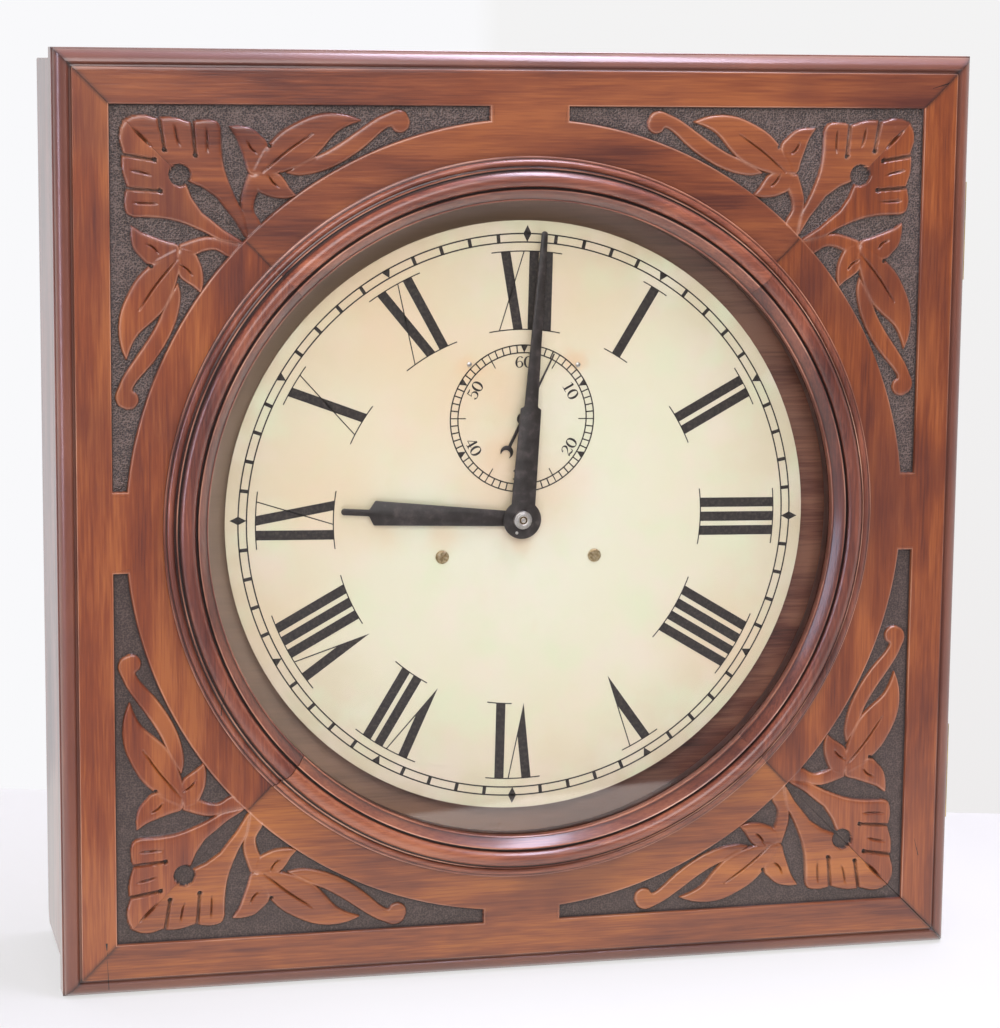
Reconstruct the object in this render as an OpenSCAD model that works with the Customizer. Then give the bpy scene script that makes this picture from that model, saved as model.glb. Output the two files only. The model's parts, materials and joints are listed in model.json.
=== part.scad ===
// Square-fronted wall clock that winds itself from two dry cells.
// The origin is on the wall, behind the middle of the dial; the front looks along -Y and +Z is up.

/* [Case] */
// Outside width of the case box
case_w = 544; // [541:1:550]
// Depth of the case box from the wall to the door
case_d = 122; // [118:1:140]
// Thickness of the side, top and bottom boards
case_t = 16; // [14:0.5:18]
// Thickness of the back board
back_t = 10; // [8:0.5:12]
// Radius of the rounded lower rear corner of the sides
case_corner_r = 10; // [4:1:16]
// Thickness of the wooden mat behind the dial
mat_t = 6; // [4:0.5:6]
// Setback of the mat behind the front edge of the case
mat_setback = 3; // [2.5:0.5:5]
// Radius of the round hole in the mat
mat_hole_r = 140; // [134:1:150]
// Side of the corner blocks that the mat is screwed to
block_w = 40; // [30:1:46]
// Depth of the corner blocks
block_d = 25; // [20:1:30]
// Radius of the hole that the outside wires come in by
wire_hole_r = 8; // [6:0.5:10]
// Radius of the two holes for the lower wall screws
steady_hole_r = 2.5; // [2:0.25:3.5]
// Distance between the two lower wall screws
steady_span = 400; // [360:5:440]

/* [Door] */
// Overhang of the square door past each side of the case
door_overhang = 4; // [3.5:0.25:5]
// Overhang of the door past the top and the bottom of the case
door_lip = 6; // [5:0.25:7]
// Thickness of the door boards
door_t = 24; // [22:0.5:28]
// Width of the moulding round the outer edge
edge_w = 10.8; // [9:0.2:12]
// Depth of the quirk beside the edge bead
quirk_d = 2.2; // [1.5:0.1:3]
// Width of the quirk beside the edge bead
quirk_w = 1.9; // [1.2:0.1:2.4]
// Drop of the edge bead from its crown to the outer fillet
bead_drop = 8.3; // [6:0.1:10]
// Width of the plain board and moulding outside the carved corners
carve_margin = 31; // [29:0.5:33]
// Width of the plain ring between the bezel and the carved corners
ring_w = 21; // [19:0.5:23]
// Half width of the plain bars between the carved corners
carve_bar = 23.5; // [18:0.5:26]
// Depth of the carved ground
carve_d = 3; // [2:0.25:4]
// Radius of the eye in each carved flower
eye_r = 5.8; // [4.5:0.1:6.5]

/* [Bezel and glass] */
// Inner radius of the turned bezel
bezel_in_r = 190.3; // [189.5:0.1:191]
// Width of the turned bezel
bezel_w = 25.7; // [25:0.1:27]
// Lap of the bezel's lip over the round opening in the door boards
bezel_lap = 6.7; // [6.4:0.1:7]
// Height of the bezel's large bead above the door
bezel_h = 13.8; // [12.8:0.1:15]
// Play between the glass and the edge of the round opening
glass_play = 0.8; // [0.5:0.1:1.5]
// Thickness of the glass
glass_t = 2.5; // [2:0.1:3]
// Depth of the ring that holds the glass in
glass_ring_d = 12.5; // [10:0.5:13]

/* [Dial] */
// Diameter of the dial
dial_dia = 355.6; // [350:0.2:360]
// Thickness of the dial
dial_t = 1; // [0.8:0.1:1.4]
// Depth of the dial behind the flat of the door
dial_depth = 16; // [15:0.5:17]
// Turn of the dial and movement, clockwise from plumb
dial_turn = 1; // [0:0.25:1.5]
// Outer radius of the minute track
track_r = 170; // [168:0.5:171]
// Width of the minute track
track_w = 5; // [4:0.5:6]
// Radius of the seconds track
seconds_track_r = 44; // [42:0.5:45]
// Width of the seconds track
seconds_track_w = 4.6; // [4:0.2:5]
// Radius of the foot of the numerals
numeral_in_r = 113; // [111:1:116]
// Height of the numerals
numeral_h = 47; // [44:1:48]
// Thickness of the printed marks
ink_t = 0.15; // [0.1:0.05:0.2]

/* [Hands] */
// Length of the minute hand from its centre
minute_l = 172; // [168:1:174]
// Length of the hour hand from its centre
hour_l = 109.5; // [104:0.5:114]
// Length of the seconds hand from its centre
second_l = 43; // [38:0.5:46]
// Radius of the minute hand's round boss
minute_hub_r = 11.6; // [10:0.1:12.5]
// Thickness of the hour and minute hands
hand_t = 1; // [0.8:0.1:1.2]
// Radius of the nut that holds the minute hand
nut_r = 5.5; // [4.5:0.1:6.5]
// Angle of the minute hand, clockwise from the dial's twelve
minute_at = 3; // [0:0.5:360]
// Angle of the hour hand, clockwise from the dial's twelve
hour_at = 272.8; // [0:0.1:360]
// Angle of the seconds hand, clockwise from the dial's sixty
second_at = 25; // [0:1:360]

/* [Movement] */
// Thickness of the brass plates
plate_t = 2.5; // [2:0.1:3]
// Clear space between the plates
plate_gap = 38; // [37:0.5:40]
// Space between the dial and the front plate
motion_gap = 8; // [8:0.25:9]
// Half width of the plates
plate_half_w = 62; // [60:1:66]
// Height of the plates' top above the centre arbor
plate_top = 100; // [98:1:104]
// Depth of the plates' foot below the centre arbor
plate_foot = 92; // [90:1:96]
// Height of the seconds arbor above the centre arbor
seconds_z = 60; // [60:0.5:61]
// Radius of the escape wheel at its tooth tips
escape_r = 17; // [16.5:0.1:17.2]
// Height of the anchor arbor above the seconds arbor
anchor_rise = 22; // [21.5:0.25:23]
// Radius of the arbors' bodies
arbor_r = 1.6; // [1.4:0.1:1.8]
// Radius of the arbors' pivots
pivot_r = 1.2; // [1:0.05:1.3]
// Radial play of a pivot or pin in its hole
running_gap = 0.05; // [0.03:0.01:0.08]

/* [Pendulum] */
// Distance from the suspension to the middle of the bob
pendulum_l = 248; // [240:1:252]
// Radius of the bob
bob_r = 38; // [34:0.5:40]
// Thickness of the bob at its middle
bob_t = 18; // [14:0.5:20]
// Radius of the pendulum rod
rod_r = 2.5; // [2:0.1:2.8]
// Distance of the pendulum behind the back plate
pendulum_back = 12; // [11:0.5:16]

/* [Cells] */
// Diameter of a dry cell
cell_dia = 66; // [60:1:68]
// Height of a dry cell's can
cell_h = 152; // [140:1:155]
// Distance of the cells' axes from the middle of the case
cell_x = 150; // [140:1:160]

/* [Hidden] */
$fn = 64;
// Side of the door, height of the case box, and half side of the square round the carved corners
door_w = case_w + 2 * door_overhang;
case_h = door_w - 2 * door_lip;
// Round the glass: the opening, the glass, the outside of the bezel and the plain ring beyond it
opening_r = bezel_in_r + bezel_lap;
glass_r = opening_r - glass_play;
bezel_out_r = bezel_in_r + bezel_w;
carve_ring_r = bezel_out_r + ring_w;
carve_half = door_w / 2 - carve_margin;
// The carving was measured on these two sizes, and grows or shrinks with the room between them
drawn_half = 245;
drawn_ring_r = 237;
carve_scale = (carve_half * sqrt(2) - carve_ring_r) / (drawn_half * sqrt(2) - drawn_ring_r);

// Overlap of a cutting shape past the face it cuts
cut = 1;

// Levels along Y, from the wall to the front
case_y = -case_d;
door_y = case_y - door_t;
mat_y = case_y + mat_setback;
dial_y = door_y + dial_depth;
front_plate_y = dial_y + dial_t + motion_gap;
gear_space_y = front_plate_y + plate_t;
back_plate_y = gear_space_y + plate_gap;
movement_back_y = back_plate_y + plate_t;
pendulum_y = movement_back_y + pendulum_back;

// Case
case_in_x = case_w / 2 - case_t;
case_in_z = case_h / 2 - case_t;
mat_gap = 0.5;
mat_screw_inset = block_w / 2;
wood_screw_r = 1.8;
screw_head_r = 4;
screw_head_t = 1.5;
slot_w = 0.9;
slot_d = 0.6;
wire_hole_z = -case_in_z + 22;
steady_z = -case_in_z + 40;

// Hanger
hanger_w = 80;
hanger_h = 44;
hanger_t = 2.5;
hanger_hole_r = 4.5;
hanger_z = case_in_z - 40;
hanger_clear_r = 13;
hanger_screw_x = 31;
hanger_screw_z = 14;

// Hinges
hinge_l = 60;
hinge_z = 170;
hinge_leaf_t = 1.6;
hinge_knuckle_r = 3.2;
hinge_pin_r = 1.5;
hinge_knuckles = 5;
hinge_play = 0.2;
hinge_x = door_w / 2 + hinge_knuckle_r + 0.3;
hinge_leaf_x = case_in_x + 1;

// Hook on the case top and the stud that it holds
hook_x = -200;
hook_pivot_y = case_y + 42;
hook_l = 31;
hook_t = 1.6;
hook_lift = 1.8;
hook_open = 35;
stud_r = 1.6;
stud_w = 16;
stud_leaf_t = 1.3;
hook_screw_r = 2;

// Screws and posts that carry the dial
dial_post_x = 47;
dial_post_z = -23;
upper_post_x = 33.3;
upper_post_z = 92.3;
dial_post_r = 4;
upper_post_r = 3;
small_screw_r = 1.5;
dial_pin_r = 1;
dial_pin_head_r = 1.55;

// Carved ornament, half of one corner, in millimetres right and up from the dial's middle
scroll_upper = [[71.7, 235.5], [74, 240.3], [79, 242], [84.5, 240], [91, 237], [100, 231],
    [110, 224], [120, 218], [131, 213], [143, 206.3]];
scroll_lower = [[143, 206.3], [136, 205], [126, 206.5], [116, 210], [106, 215.5], [97, 222],
    [88, 230], [82.5, 233], [80, 230.4], [76, 229.6], [72.5, 232], [71.7, 235.5]];
leaf_upper = [[100.5, 236], [108, 238.7], [118, 239.8], [128, 238.3], [138, 234], [147, 228.5],
    [154.5, 220.5], [159, 213], [162, 207]];
leaf_lower = [[162, 207], [155, 204.6], [148, 206.3], [142, 208], [135, 211], [128, 215],
    [122, 221], [115, 229], [108, 233.3], [100.5, 236]];
bud_upper = [[158, 206], [154.5, 221], [158.5, 226.8], [163.5, 230.8], [170, 232.3], [175.8, 232.3]];
bud_lower = [[175.8, 232.3], [172, 226.5], [169.3, 219.5], [167, 213], [164.5, 206], [158, 206]];
side_leaf_upper = [[163, 204], [158, 207], [148.5, 205.5], [144.5, 201.5], [142, 197.5], [138.3, 193.2]];
side_leaf_lower = [[138.3, 193.2], [143, 192], [150, 192.3], [155.5, 194], [160.5, 197], [163, 204]];
stalk_left = [[157.5, 205], [159.5, 197], [162, 191], [162.6, 184], [158.5, 176.5], [159, 168]];
stalk_right = [[166, 168], [165.9, 171.7], [167.6, 181], [169.3, 186], [169.3, 192], [167, 200],
    [164.5, 206.7]];
flower_outer = [[166, 169], [167.8, 180.5], [170, 185.5], [173.3, 191.7], [177.5, 201.7],
    [180, 210], [181.3, 220], [181.5, 230.5]];
flower_crown = [[181.5, 230.5], [183.5, 234.6], [190, 235.8], [196, 234.9], [198.5, 234.2],
    [206.5, 236.6], [214, 237], [218, 236.4], [225, 238.3], [231, 237.8], [234.6, 236]];
flower_inner = [[236.2, 235], [205.5, 204], [200, 201.7], [191.7, 198.3], [183.3, 192.5],
    [179, 187], [173.3, 180], [167.5, 170.5]];
slit_1 = [[196.9, 237], [198.3, 237], [196.3, 216], [195.4, 216]];
slit_2 = [[216, 239], [217.4, 239], [213.9, 219], [213, 219]];
drill_r = 1.1;
eye_at = 204.8;

// Wheel train: counts of teeth, modules and levels
tooth_top = 0.8;
tooth_root = 1.05;
tooth_foot_w = 0.27;
tooth_tip_w = 0.10;
centre_teeth = 80;
third_leaves = 10;
third_teeth = 75;
escape_leaves = 10;
train_m = 0.8;
cannon_leaves = 12;
minute_teeth = 36;
cannon_m = 0.75;
minute_leaves = 10;
hour_teeth = 40;
hour_m = cannon_m * (cannon_leaves + minute_teeth) / (minute_leaves + hour_teeth);
winding_teeth = 72;
winding_leaves = 12;
winding_m = 0.9;
ratchet_teeth = 36;
ratchet_r = 14;
escape_teeth = 60;
end_play = 0.3;
pallet_gap = 0.9;

// Places of the arbors, as angle and distance worked out from the teeth
third_d = train_m * (centre_teeth + third_leaves) / 2;
third_to_escape = train_m * (third_teeth + escape_leaves) / 2;
third_z = (third_d * third_d - third_to_escape * third_to_escape + seconds_z * seconds_z) / (2 * seconds_z);
third_x = -sqrt(third_d * third_d - third_z * third_z);
stud_d = cannon_m * (cannon_leaves + minute_teeth) / 2;
stud_angle = -45;
winding_d = winding_m * (winding_teeth + winding_leaves) / 2;
winding_angle = -40;
ratchet_x = winding_d * cos(winding_angle);
ratchet_z = winding_d * sin(winding_angle);
anchor_z = seconds_z + anchor_rise;

// Levels of the wheels
centre_wheel_y = back_plate_y - 8.5;
centre_wheel_t = 2;
third_wheel_y = gear_space_y + 6.5;
third_wheel_t = 1.6;
escape_wheel_y = gear_space_y + 20.5;
escape_wheel_t = 1.2;
winding_wheel_y = gear_space_y + 14.5;
winding_wheel_t = 2;
drum_r = 20;
drum_t = 9;
ratchet_y = gear_space_y + 6.5;
ratchet_t = 1.5;
centre_arbor_r = 2.4;
cannon_r = 3.3;
hour_pipe_in_r = cannon_r + running_gap;
hour_pipe_r = 4.6;
second_hand_y = dial_y - 1.8;
second_hand_t = 0.8;
hour_hand_y = dial_y - 3 - hand_t;
minute_hand_y = dial_y - 6 - hand_t;
nut_t = 3;
second_tail = 22;
cannon_y = front_plate_y - 4;
minute_wheel_y = cannon_y + 0.2;
minute_wheel_t = 1.2;
hour_wheel_y = front_plate_y - 6.5;
hour_wheel_t = 1.2;

// Winding magnet
magnet_y = gear_space_y + 18.5;
magnet_half_y = 6;
coil_x = 14;
coil_r = 11.5;
core_r = 5;
yoke_z = -86;
yoke_t = 6;
core_top = -53.5;
coil_top = -56;
armature_x = -34;
armature_z = -48.5;
armature_half_t = 2;
armature_right = 47;
pawl_in = 0.5;
pawl_w = 2.6;

// Pillars, bracket and binding posts
pillar_x = 52;
pillar_top_z = 88;
pillar_low_z = -78;
pillar_r = 4.5;
bracket_web_t = 6;
bracket_foot_w = 24;
bracket_foot_t = 6;
bracket_top = 16;
bracket_low = -86;
bracket_pad_t = 5;
bracket_pad_w = 18;
bracket_pad_h = 22;
post_x = 40;
post_z = -84;
post_r = 3;
post_l = 8;

// Pendulum
pivot_pin_r = 1.5;
block_half = 4;
spring_t = 0.3;
spring_w = 8;
spring_l = 13;
clamp_l = 8;
cock_l = 20;
nut_h = 5;
nut_outer_r = 7;
bob_play = 0.06;
rod_tail = 17;
bob_rim = 4;

// Cells
terminal_r = 3;
terminal_h = 9;
cell_y = -60;
carbon_r = 12;

// Points of a smooth line through the points given
function blend_point(a, b, c, d, t) = 0.5 * (2 * b + (c - a) * t + (2 * a - 5 * b + 4 * c - d) * t * t
    + (3 * b - a - 3 * c + d) * t * t * t);
function smooth(p, steps = 2) = [for (i = [0 : len(p) - 2]) for (k = [0 : steps - 1])
    blend_point(p[max(i - 1, 0)], p[i], p[i + 1], p[min(i + 2, len(p) - 1)], k / steps)];

// Toothed outline with one tooth at the angle given
function toothed(n, m, at = 0) = [for (i = [0 : n - 1]) for (c = [[-tooth_foot_w, -tooth_root],
    [-tooth_tip_w, tooth_top], [tooth_tip_w, tooth_top], [tooth_foot_w, -tooth_root]])
    let (r = m * (n / 2 + c[1]), a = at + (i + c[0]) * 360 / n) [r * cos(a), r * sin(a)]];

// Angle of a tooth of the second wheel so that it meshes with the first, which lies at angle d from it
function meshed(n1, at1, n2, d) = d + 180 + 180 / n2 - (at1 - d) * n1 / n2;

// Flat shape drawn in XZ and given thickness from y0 back to y1
module slab(y0, y1) {
    translate([0, y1, 0]) rotate([90, 0, 0]) linear_extrude(y1 - y0) children();
}

// Round bar along Y
module bar(r, y0, y1) {
    translate([0, y1, 0]) rotate([90, 0, 0]) cylinder(r = r, h = y1 - y0);
}

module at(x, z) {
    translate([x, 0, z]) children();
}

// The dial and the movement hang a little out of plumb
module turned() {
    rotate([0, dial_turn, 0]) children();
}

module both_sides() {
    children();
    mirror([1, 0, 0]) children();
}

module box(x0, x1, y0, y1, z0, z1) {
    translate([x0, y0, z0]) cube([x1 - x0, y1 - y0, z1 - z0]);
}

// Slotted round-head screw along Y, its head's underside at head_y and its point at tip_y
module screw_y(r, head_r, head_y, tip_y, head_t = screw_head_t, slot_angle = 0) {
    difference() {
        union() {
            bar(head_r, head_y - head_t, head_y);
            bar(r, head_y - 0.01, tip_y);
        }
        rotate([0, slot_angle, 0]) box(-head_r - cut, head_r + cut, head_y - head_t - cut,
            head_y - head_t + slot_d, -slot_w / 2, slot_w / 2);
    }
}

// Case

module side_outline() {
    r = case_corner_r;
    corner = [for (a = [0 : 15 : 90]) [-r + r * cos(a), -case_h / 2 + r - r * sin(a)]];
    polygon(concat([[case_y, -case_h / 2], [case_y, case_h / 2], [0, case_h / 2]], corner));
}

module side_board() {
    translate([case_in_x, 0, 0]) rotate([90, 0, 90]) linear_extrude(case_t) side_outline();
}

module case_left_side() {
    color("#6d3a26") mirror([1, 0, 0]) side_board();
}

module case_right_side() {
    color("#6d3a26") difference() {
        side_board();
        for (s = [-1, 1])
            box(case_in_x - cut, case_w / 2 + cut, case_y - cut, case_y + hinge_leaf_t,
                s * hinge_z - hinge_l / 2 - hinge_play, s * hinge_z + hinge_l / 2 + hinge_play);
    }
}

module case_top() {
    color("#6d3a26") difference() {
        box(-case_in_x, case_in_x, case_y, 0, case_in_z, case_h / 2);
        translate([hook_x, hook_pivot_y, case_in_z - cut])
            cylinder(r = hook_screw_r + running_gap, h = case_t + 2 * cut);
    }
}

module case_bottom() {
    color("#6d3a26") box(-case_in_x, case_in_x, case_y, 0, -case_h / 2, -case_in_z);
}

module case_back() {
    color("#7a4a30") difference() {
        box(-case_in_x, case_in_x, -back_t, 0, -case_in_z, case_in_z);
        box(-hanger_w / 2, hanger_w / 2, -hanger_t, cut, hanger_z - hanger_h / 2, hanger_z + hanger_h / 2);
        at(0, hanger_z) bar(hanger_clear_r, -back_t - cut, cut);
        for (s = [-1, 1]) at(s * steady_span / 2, steady_z) bar(steady_hole_r, -back_t - cut, cut);
        at(0, wire_hole_z) bar(wire_hole_r, -back_t - cut, cut);
        hanger_screw_places() bar(small_screw_r + running_gap, -back_t + 1, cut);
        turned() bracket_screw_places() bar(small_screw_r + running_gap, -back_t - cut, -2);
    }
}

module hanger_screw_places() {
    for (sx = [-1, 1]) for (sz = [-1, 1])
        at(sx * hanger_screw_x, hanger_z + sz * hanger_screw_z) children();
}

// Brass plate let into the back, hung on one round-head wall screw
module hanger_plate() {
    color("#b8954f") difference() {
        box(-hanger_w / 2, hanger_w / 2, -hanger_t, 0, hanger_z - hanger_h / 2, hanger_z + hanger_h / 2);
        at(0, hanger_z) bar(hanger_hole_r, -hanger_t - cut, cut);
        hanger_screw_places() bar(small_screw_r + running_gap, -hanger_t - cut, cut);
        hanger_screw_places() bar(small_screw_r * 2, -1, cut);
    }
}

module hanger_screws() {
    color("#c9a864") hanger_screw_places() difference() {
        union() {
            bar(small_screw_r * 2 - running_gap, -1, 0);
            bar(small_screw_r, -back_t + 1.5, -0.5);
        }
        box(-slot_w / 2, slot_w / 2, -slot_d, cut, -3 * small_screw_r, 3 * small_screw_r);
    }
}

module mat_corner_places() {
    for (sx = [-1, 1]) for (sz = [-1, 1])
        at(sx * (case_in_x - mat_screw_inset), sz * (case_in_z - mat_screw_inset)) children();
}

module dial_mat() {
    color("#5c3020") difference() {
        box(-case_in_x + mat_gap, case_in_x - mat_gap, mat_y, mat_y + mat_t,
            -case_in_z + mat_gap, case_in_z - mat_gap);
        bar(mat_hole_r, mat_y - cut, mat_y + mat_t + cut);
        mat_corner_places() bar(wood_screw_r + running_gap, mat_y - cut, mat_y + mat_t + cut);
    }
}

module mat_blocks() {
    color("#8a5a3a") mat_corner_places() difference() {
        box(-block_w / 2, block_w / 2, mat_y + mat_t, mat_y + mat_t + block_d, -block_w / 2, block_w / 2);
        bar(wood_screw_r + running_gap, mat_y + mat_t - cut, mat_y + mat_t + block_d - 4);
    }
}

module mat_screws() {
    color("#c9a864") mat_corner_places()
        screw_y(wood_screw_r, screw_head_r, mat_y, mat_y + mat_t + block_d - 5, slot_angle = 30);
}

// Door

// Section of a door board: [y, distance from the middle of the door]
function board_section() = let (h = door_w / 2, flat = h - edge_w, crown = flat + quirk_w, fillet = 0.8,
    reach = h - fillet - crown) concat(
    [[case_y, 0], [door_y, 0], [door_y, flat], [door_y + quirk_d, flat], [door_y + quirk_d, crown - 0.3],
     [door_y + 1.4, crown - 0.2]],
    [for (a = [6 : 12 : 90]) [door_y + 0.8 + (bead_drop - 0.8) * (1 - cos(a)), crown + reach * sin(a)]],
    [[door_y + bead_drop, h - fillet], [door_y + bead_drop, h], [case_y, h]]);

module ornament_half() {
    difference() {
        union() {
            polygon(concat(smooth(scroll_upper), smooth(scroll_lower)));
            polygon(concat(smooth(leaf_upper), smooth(leaf_lower)));
            polygon(concat(smooth(bud_upper), smooth(bud_lower)));
            polygon(concat(smooth(side_leaf_upper), smooth(side_leaf_lower)));
            polygon(concat(smooth(stalk_left), smooth(stalk_right)));
            polygon(concat(smooth(flower_outer), smooth(flower_crown), flower_inner));
        }
        translate([eye_at, eye_at]) circle(eye_r);
        polygon(slit_1);
        polygon(slit_2);
        translate([slit_1[2][0] - 0.4, slit_1[2][1]]) circle(drill_r);
        translate([slit_2[2][0] - 0.4, slit_2[2][1]]) circle(drill_r);
    }
}

// Sunk ground of one corner, with the carved leaves and flower left standing
module carved_ground() {
    difference() {
        translate([carve_bar, carve_bar]) square(carve_half - carve_bar);
        circle(carve_ring_r, $fn = 180);
        translate([carve_ring_r, carve_ring_r] / sqrt(2)) scale(carve_scale)
            translate(-[drawn_ring_r, drawn_ring_r] / sqrt(2)) {
                ornament_half();
                mirror([1, -1]) ornament_half();
            }
    }
}

// One mitred board; the top rail lies as drawn and the others are turned round the opening
module door_board(quarter) {
    h = door_w / 2;
    rotate([0, 90 * quarter, 0]) intersection() {
        difference() {
            translate([-h, 0, 0]) rotate([90, 0, 90]) linear_extrude(door_w) polygon(board_section());
            bar(opening_r, door_y - cut, case_y + cut, $fn = 180);
            for (m = [0, 1]) mirror([m, 0, 0]) slab(door_y - cut, door_y + carve_d) carved_ground();
        }
        slab(door_y - cut, case_y + cut) polygon([[0, 0], [-h - cut, h + cut], [h + cut, h + cut]]);
    }
}

module door_top_rail() {
    color("#9c5230") door_board(0);
}

module door_right_stile() {
    color("#8f4a2c") difference() {
        door_board(1);
        for (s = [-1, 1])
            box(hinge_leaf_x - 0.2, door_w / 2 + cut, case_y - hinge_leaf_t, case_y + cut,
                s * hinge_z - hinge_l / 2 - hinge_play, s * hinge_z + hinge_l / 2 + hinge_play);
    }
}

module door_bottom_rail() {
    color("#93492b") door_board(2);
}

module door_left_stile() {
    color("#8a452c") door_board(3);
}

// Section of the turned bezel: [radius, height above the door]
function bezel_section() = let (i = bezel_in_r, o = bezel_out_r, b = bezel_h) concat(
    [[i, 0], [i, 4.6], [i + 0.6, 5.3], [i + 1.2, 5.3], [i + 6, 10.6], [i + 6.6, 11], [i + 6.9, 9.6],
     [i + 7.6, 9.2]],
    [for (a = [164 : -16 : 20]) [i + 12.7 + 4.8 * cos(a), b - 5.2 + 5.2 * sin(a)]],
    [[i + 17.6, 8.2], [i + 18.2, 8.2], [i + 18.5, 8.8], [i + 19, 8.8], [i + 19.3, 5.4]],
    [for (a = [150 : -30 : 0]) [i + 21.8 + 2.1 * cos(a), 4.2 + 2.1 * sin(a)]],
    [[i + 24, 3.2], [o - 0.6, 3.2], [o, 2.6], [o, 0]]);

module bezel_part(quarter) {
    // A hair's gap is left at each glued joint
    joint = 0.02;
    rotate([0, 90 * quarter, 0]) translate([0, door_y, 0]) rotate([90, 0, 0])
        rotate([0, 0, 45 + joint]) rotate_extrude(angle = 90 - 2 * joint, $fn = 180)
            polygon(bezel_section());
}

module bezel_top() {
    color("#9a5534") bezel_part(0);
}

module bezel_right() {
    color("#7d4029") bezel_part(1);
}

module bezel_bottom() {
    color("#8f4c2f") bezel_part(2);
}

module bezel_left() {
    color("#7a3d2a") bezel_part(3);
}

module door_glass() {
    color([0.8, 0.9, 0.9, 0.3]) bar(glass_r, door_y, door_y + glass_t, $fn = 180);
}

module glass_ring() {
    color("#4a2a1e") translate([0, door_y + glass_t, 0]) rotate([-90, 0, 0]) rotate_extrude($fn = 180)
        polygon([[bezel_in_r + 0.2, 0], [opening_r - 0.2, 0], [opening_r - 0.2, glass_ring_d],
            [bezel_in_r + 2, glass_ring_d], [bezel_in_r + 0.2, glass_ring_d - 6]]);
}

// Knuckles of one hinge that belong to one leaf, counted from the bottom
module knuckles(first, centre_z) {
    pitch = hinge_l / hinge_knuckles;
    for (i = [first : 2 : hinge_knuckles - 1])
        translate([hinge_x, case_y, centre_z - hinge_l / 2 + i * pitch + hinge_play / 2])
            cylinder(r = hinge_knuckle_r, h = pitch - hinge_play);
}

// Slots that clear the other leaf's knuckles
module knuckle_gaps(first, centre_z) {
    pitch = hinge_l / hinge_knuckles;
    for (i = [first : 2 : hinge_knuckles - 1])
        box(door_w / 2 - 0.1, hinge_x + hinge_knuckle_r + cut, case_y - 2 * hinge_knuckle_r,
            case_y + 2 * hinge_knuckle_r, centre_z - hinge_l / 2 + i * pitch - hinge_play / 2,
            centre_z - hinge_l / 2 + (i + 1) * pitch + hinge_play / 2);
}

module hinge_case_leaves() {
    color("#b08d4c") for (s = [-1, 1]) {
        difference() {
            union() {
                box(hinge_leaf_x, hinge_x, case_y, case_y + hinge_leaf_t,
                    s * hinge_z - hinge_l / 2, s * hinge_z + hinge_l / 2);
                knuckles(0, s * hinge_z);
            }
            knuckle_gaps(1, s * hinge_z);
        }
        translate([hinge_x, case_y, s * hinge_z - hinge_l / 2]) cylinder(r = hinge_pin_r, h = hinge_l);
    }
}

module hinge_door_leaves() {
    color("#b08d4c") for (s = [-1, 1]) difference() {
        union() {
            box(hinge_leaf_x, hinge_x, case_y - hinge_leaf_t, case_y,
                s * hinge_z - hinge_l / 2, s * hinge_z + hinge_l / 2);
            knuckles(1, s * hinge_z);
        }
        for (first = [0]) knuckle_gaps(first, s * hinge_z);
        translate([hinge_x, case_y, s * hinge_z - hinge_l / 2 - cut])
            cylinder(r = hinge_pin_r + running_gap, h = hinge_l + 2 * cut);
    }
}

// Angle plate with an upright stud, screwed to the back of the door above the case
module door_stud() {
    z = case_h / 2 + 0.3;
    color("#b08d4c") translate([hook_x, 0, z]) {
        box(-stud_w / 2, stud_w / 2, case_y, case_y + stud_leaf_t, 0, door_w / 2 - z - 0.2);
        box(-stud_w / 2, stud_w / 2, case_y, hook_pivot_y - hook_l + 4, 0, stud_leaf_t);
        translate([0, hook_pivot_y - hook_l, 0]) cylinder(r = stud_r, h = door_w / 2 - z - 1);
    }
}

module hook_outline() {
    difference() {
        union() {
            circle(6);
            translate([-4, -hook_l]) square([8, hook_l]);
            translate([0, -hook_l]) circle(6);
        }
        circle(hook_screw_r + running_gap);
        translate([0, -hook_l]) circle(stud_r + 0.2);
        translate([0, -hook_l]) polygon([[0, -stud_r - 0.2], [9, -stud_r - 0.2], [9, stud_r + 2],
            [0, stud_r + 0.2]]);
    }
}

module door_hook() {
    color("#b08d4c") translate([hook_x, hook_pivot_y, case_h / 2]) rotate([0, 0, -hook_open]) {
        translate([0, 0, hook_lift]) linear_extrude(hook_t) hook_outline();
        difference() {
            translate([0, 0, 0.1]) cylinder(r = 5, h = hook_lift);
            cylinder(r = hook_screw_r + running_gap, h = hook_lift + cut);
        }
    }
}

module hook_screw() {
    top = case_h / 2 + hook_lift + hook_t + 0.2;
    color("#c9a864") translate([hook_x, hook_pivot_y, 0]) difference() {
        union() {
            translate([0, 0, case_in_z + 2]) cylinder(r = hook_screw_r, h = top - case_in_z - 1);
            translate([0, 0, top]) cylinder(r = screw_head_r, h = screw_head_t);
        }
        box(-slot_w / 2, slot_w / 2, -screw_head_r - cut, screw_head_r + cut,
            top + screw_head_t - slot_d, top + 2 * screw_head_t);
    }
}

// Dial

module dial_post_places() {
    both_sides() at(dial_post_x, dial_post_z) children();
}

module upper_post_places() {
    both_sides() at(upper_post_x, upper_post_z) children();
}

module dial() {
    color("#ece0bd") turned() difference() {
        bar(dial_dia / 2, dial_y, dial_y + dial_t, $fn = 180);
        bar(hour_pipe_r + 1, dial_y - cut, dial_y + dial_t + cut);
        at(0, seconds_z) bar(pivot_r + 1, dial_y - cut, dial_y + dial_t + cut);
        dial_post_places() bar(small_screw_r + running_gap, dial_y - cut, dial_y + dial_t + cut);
        upper_post_places() bar(dial_pin_r + running_gap, dial_y - cut, dial_y + dial_t + cut);
    }
}

// Ring line of the printed tracks
module line_ring(r, w) {
    difference() {
        circle(r + w / 2, $fn = 180);
        circle(r - w / 2, $fn = 180);
    }
}

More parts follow.
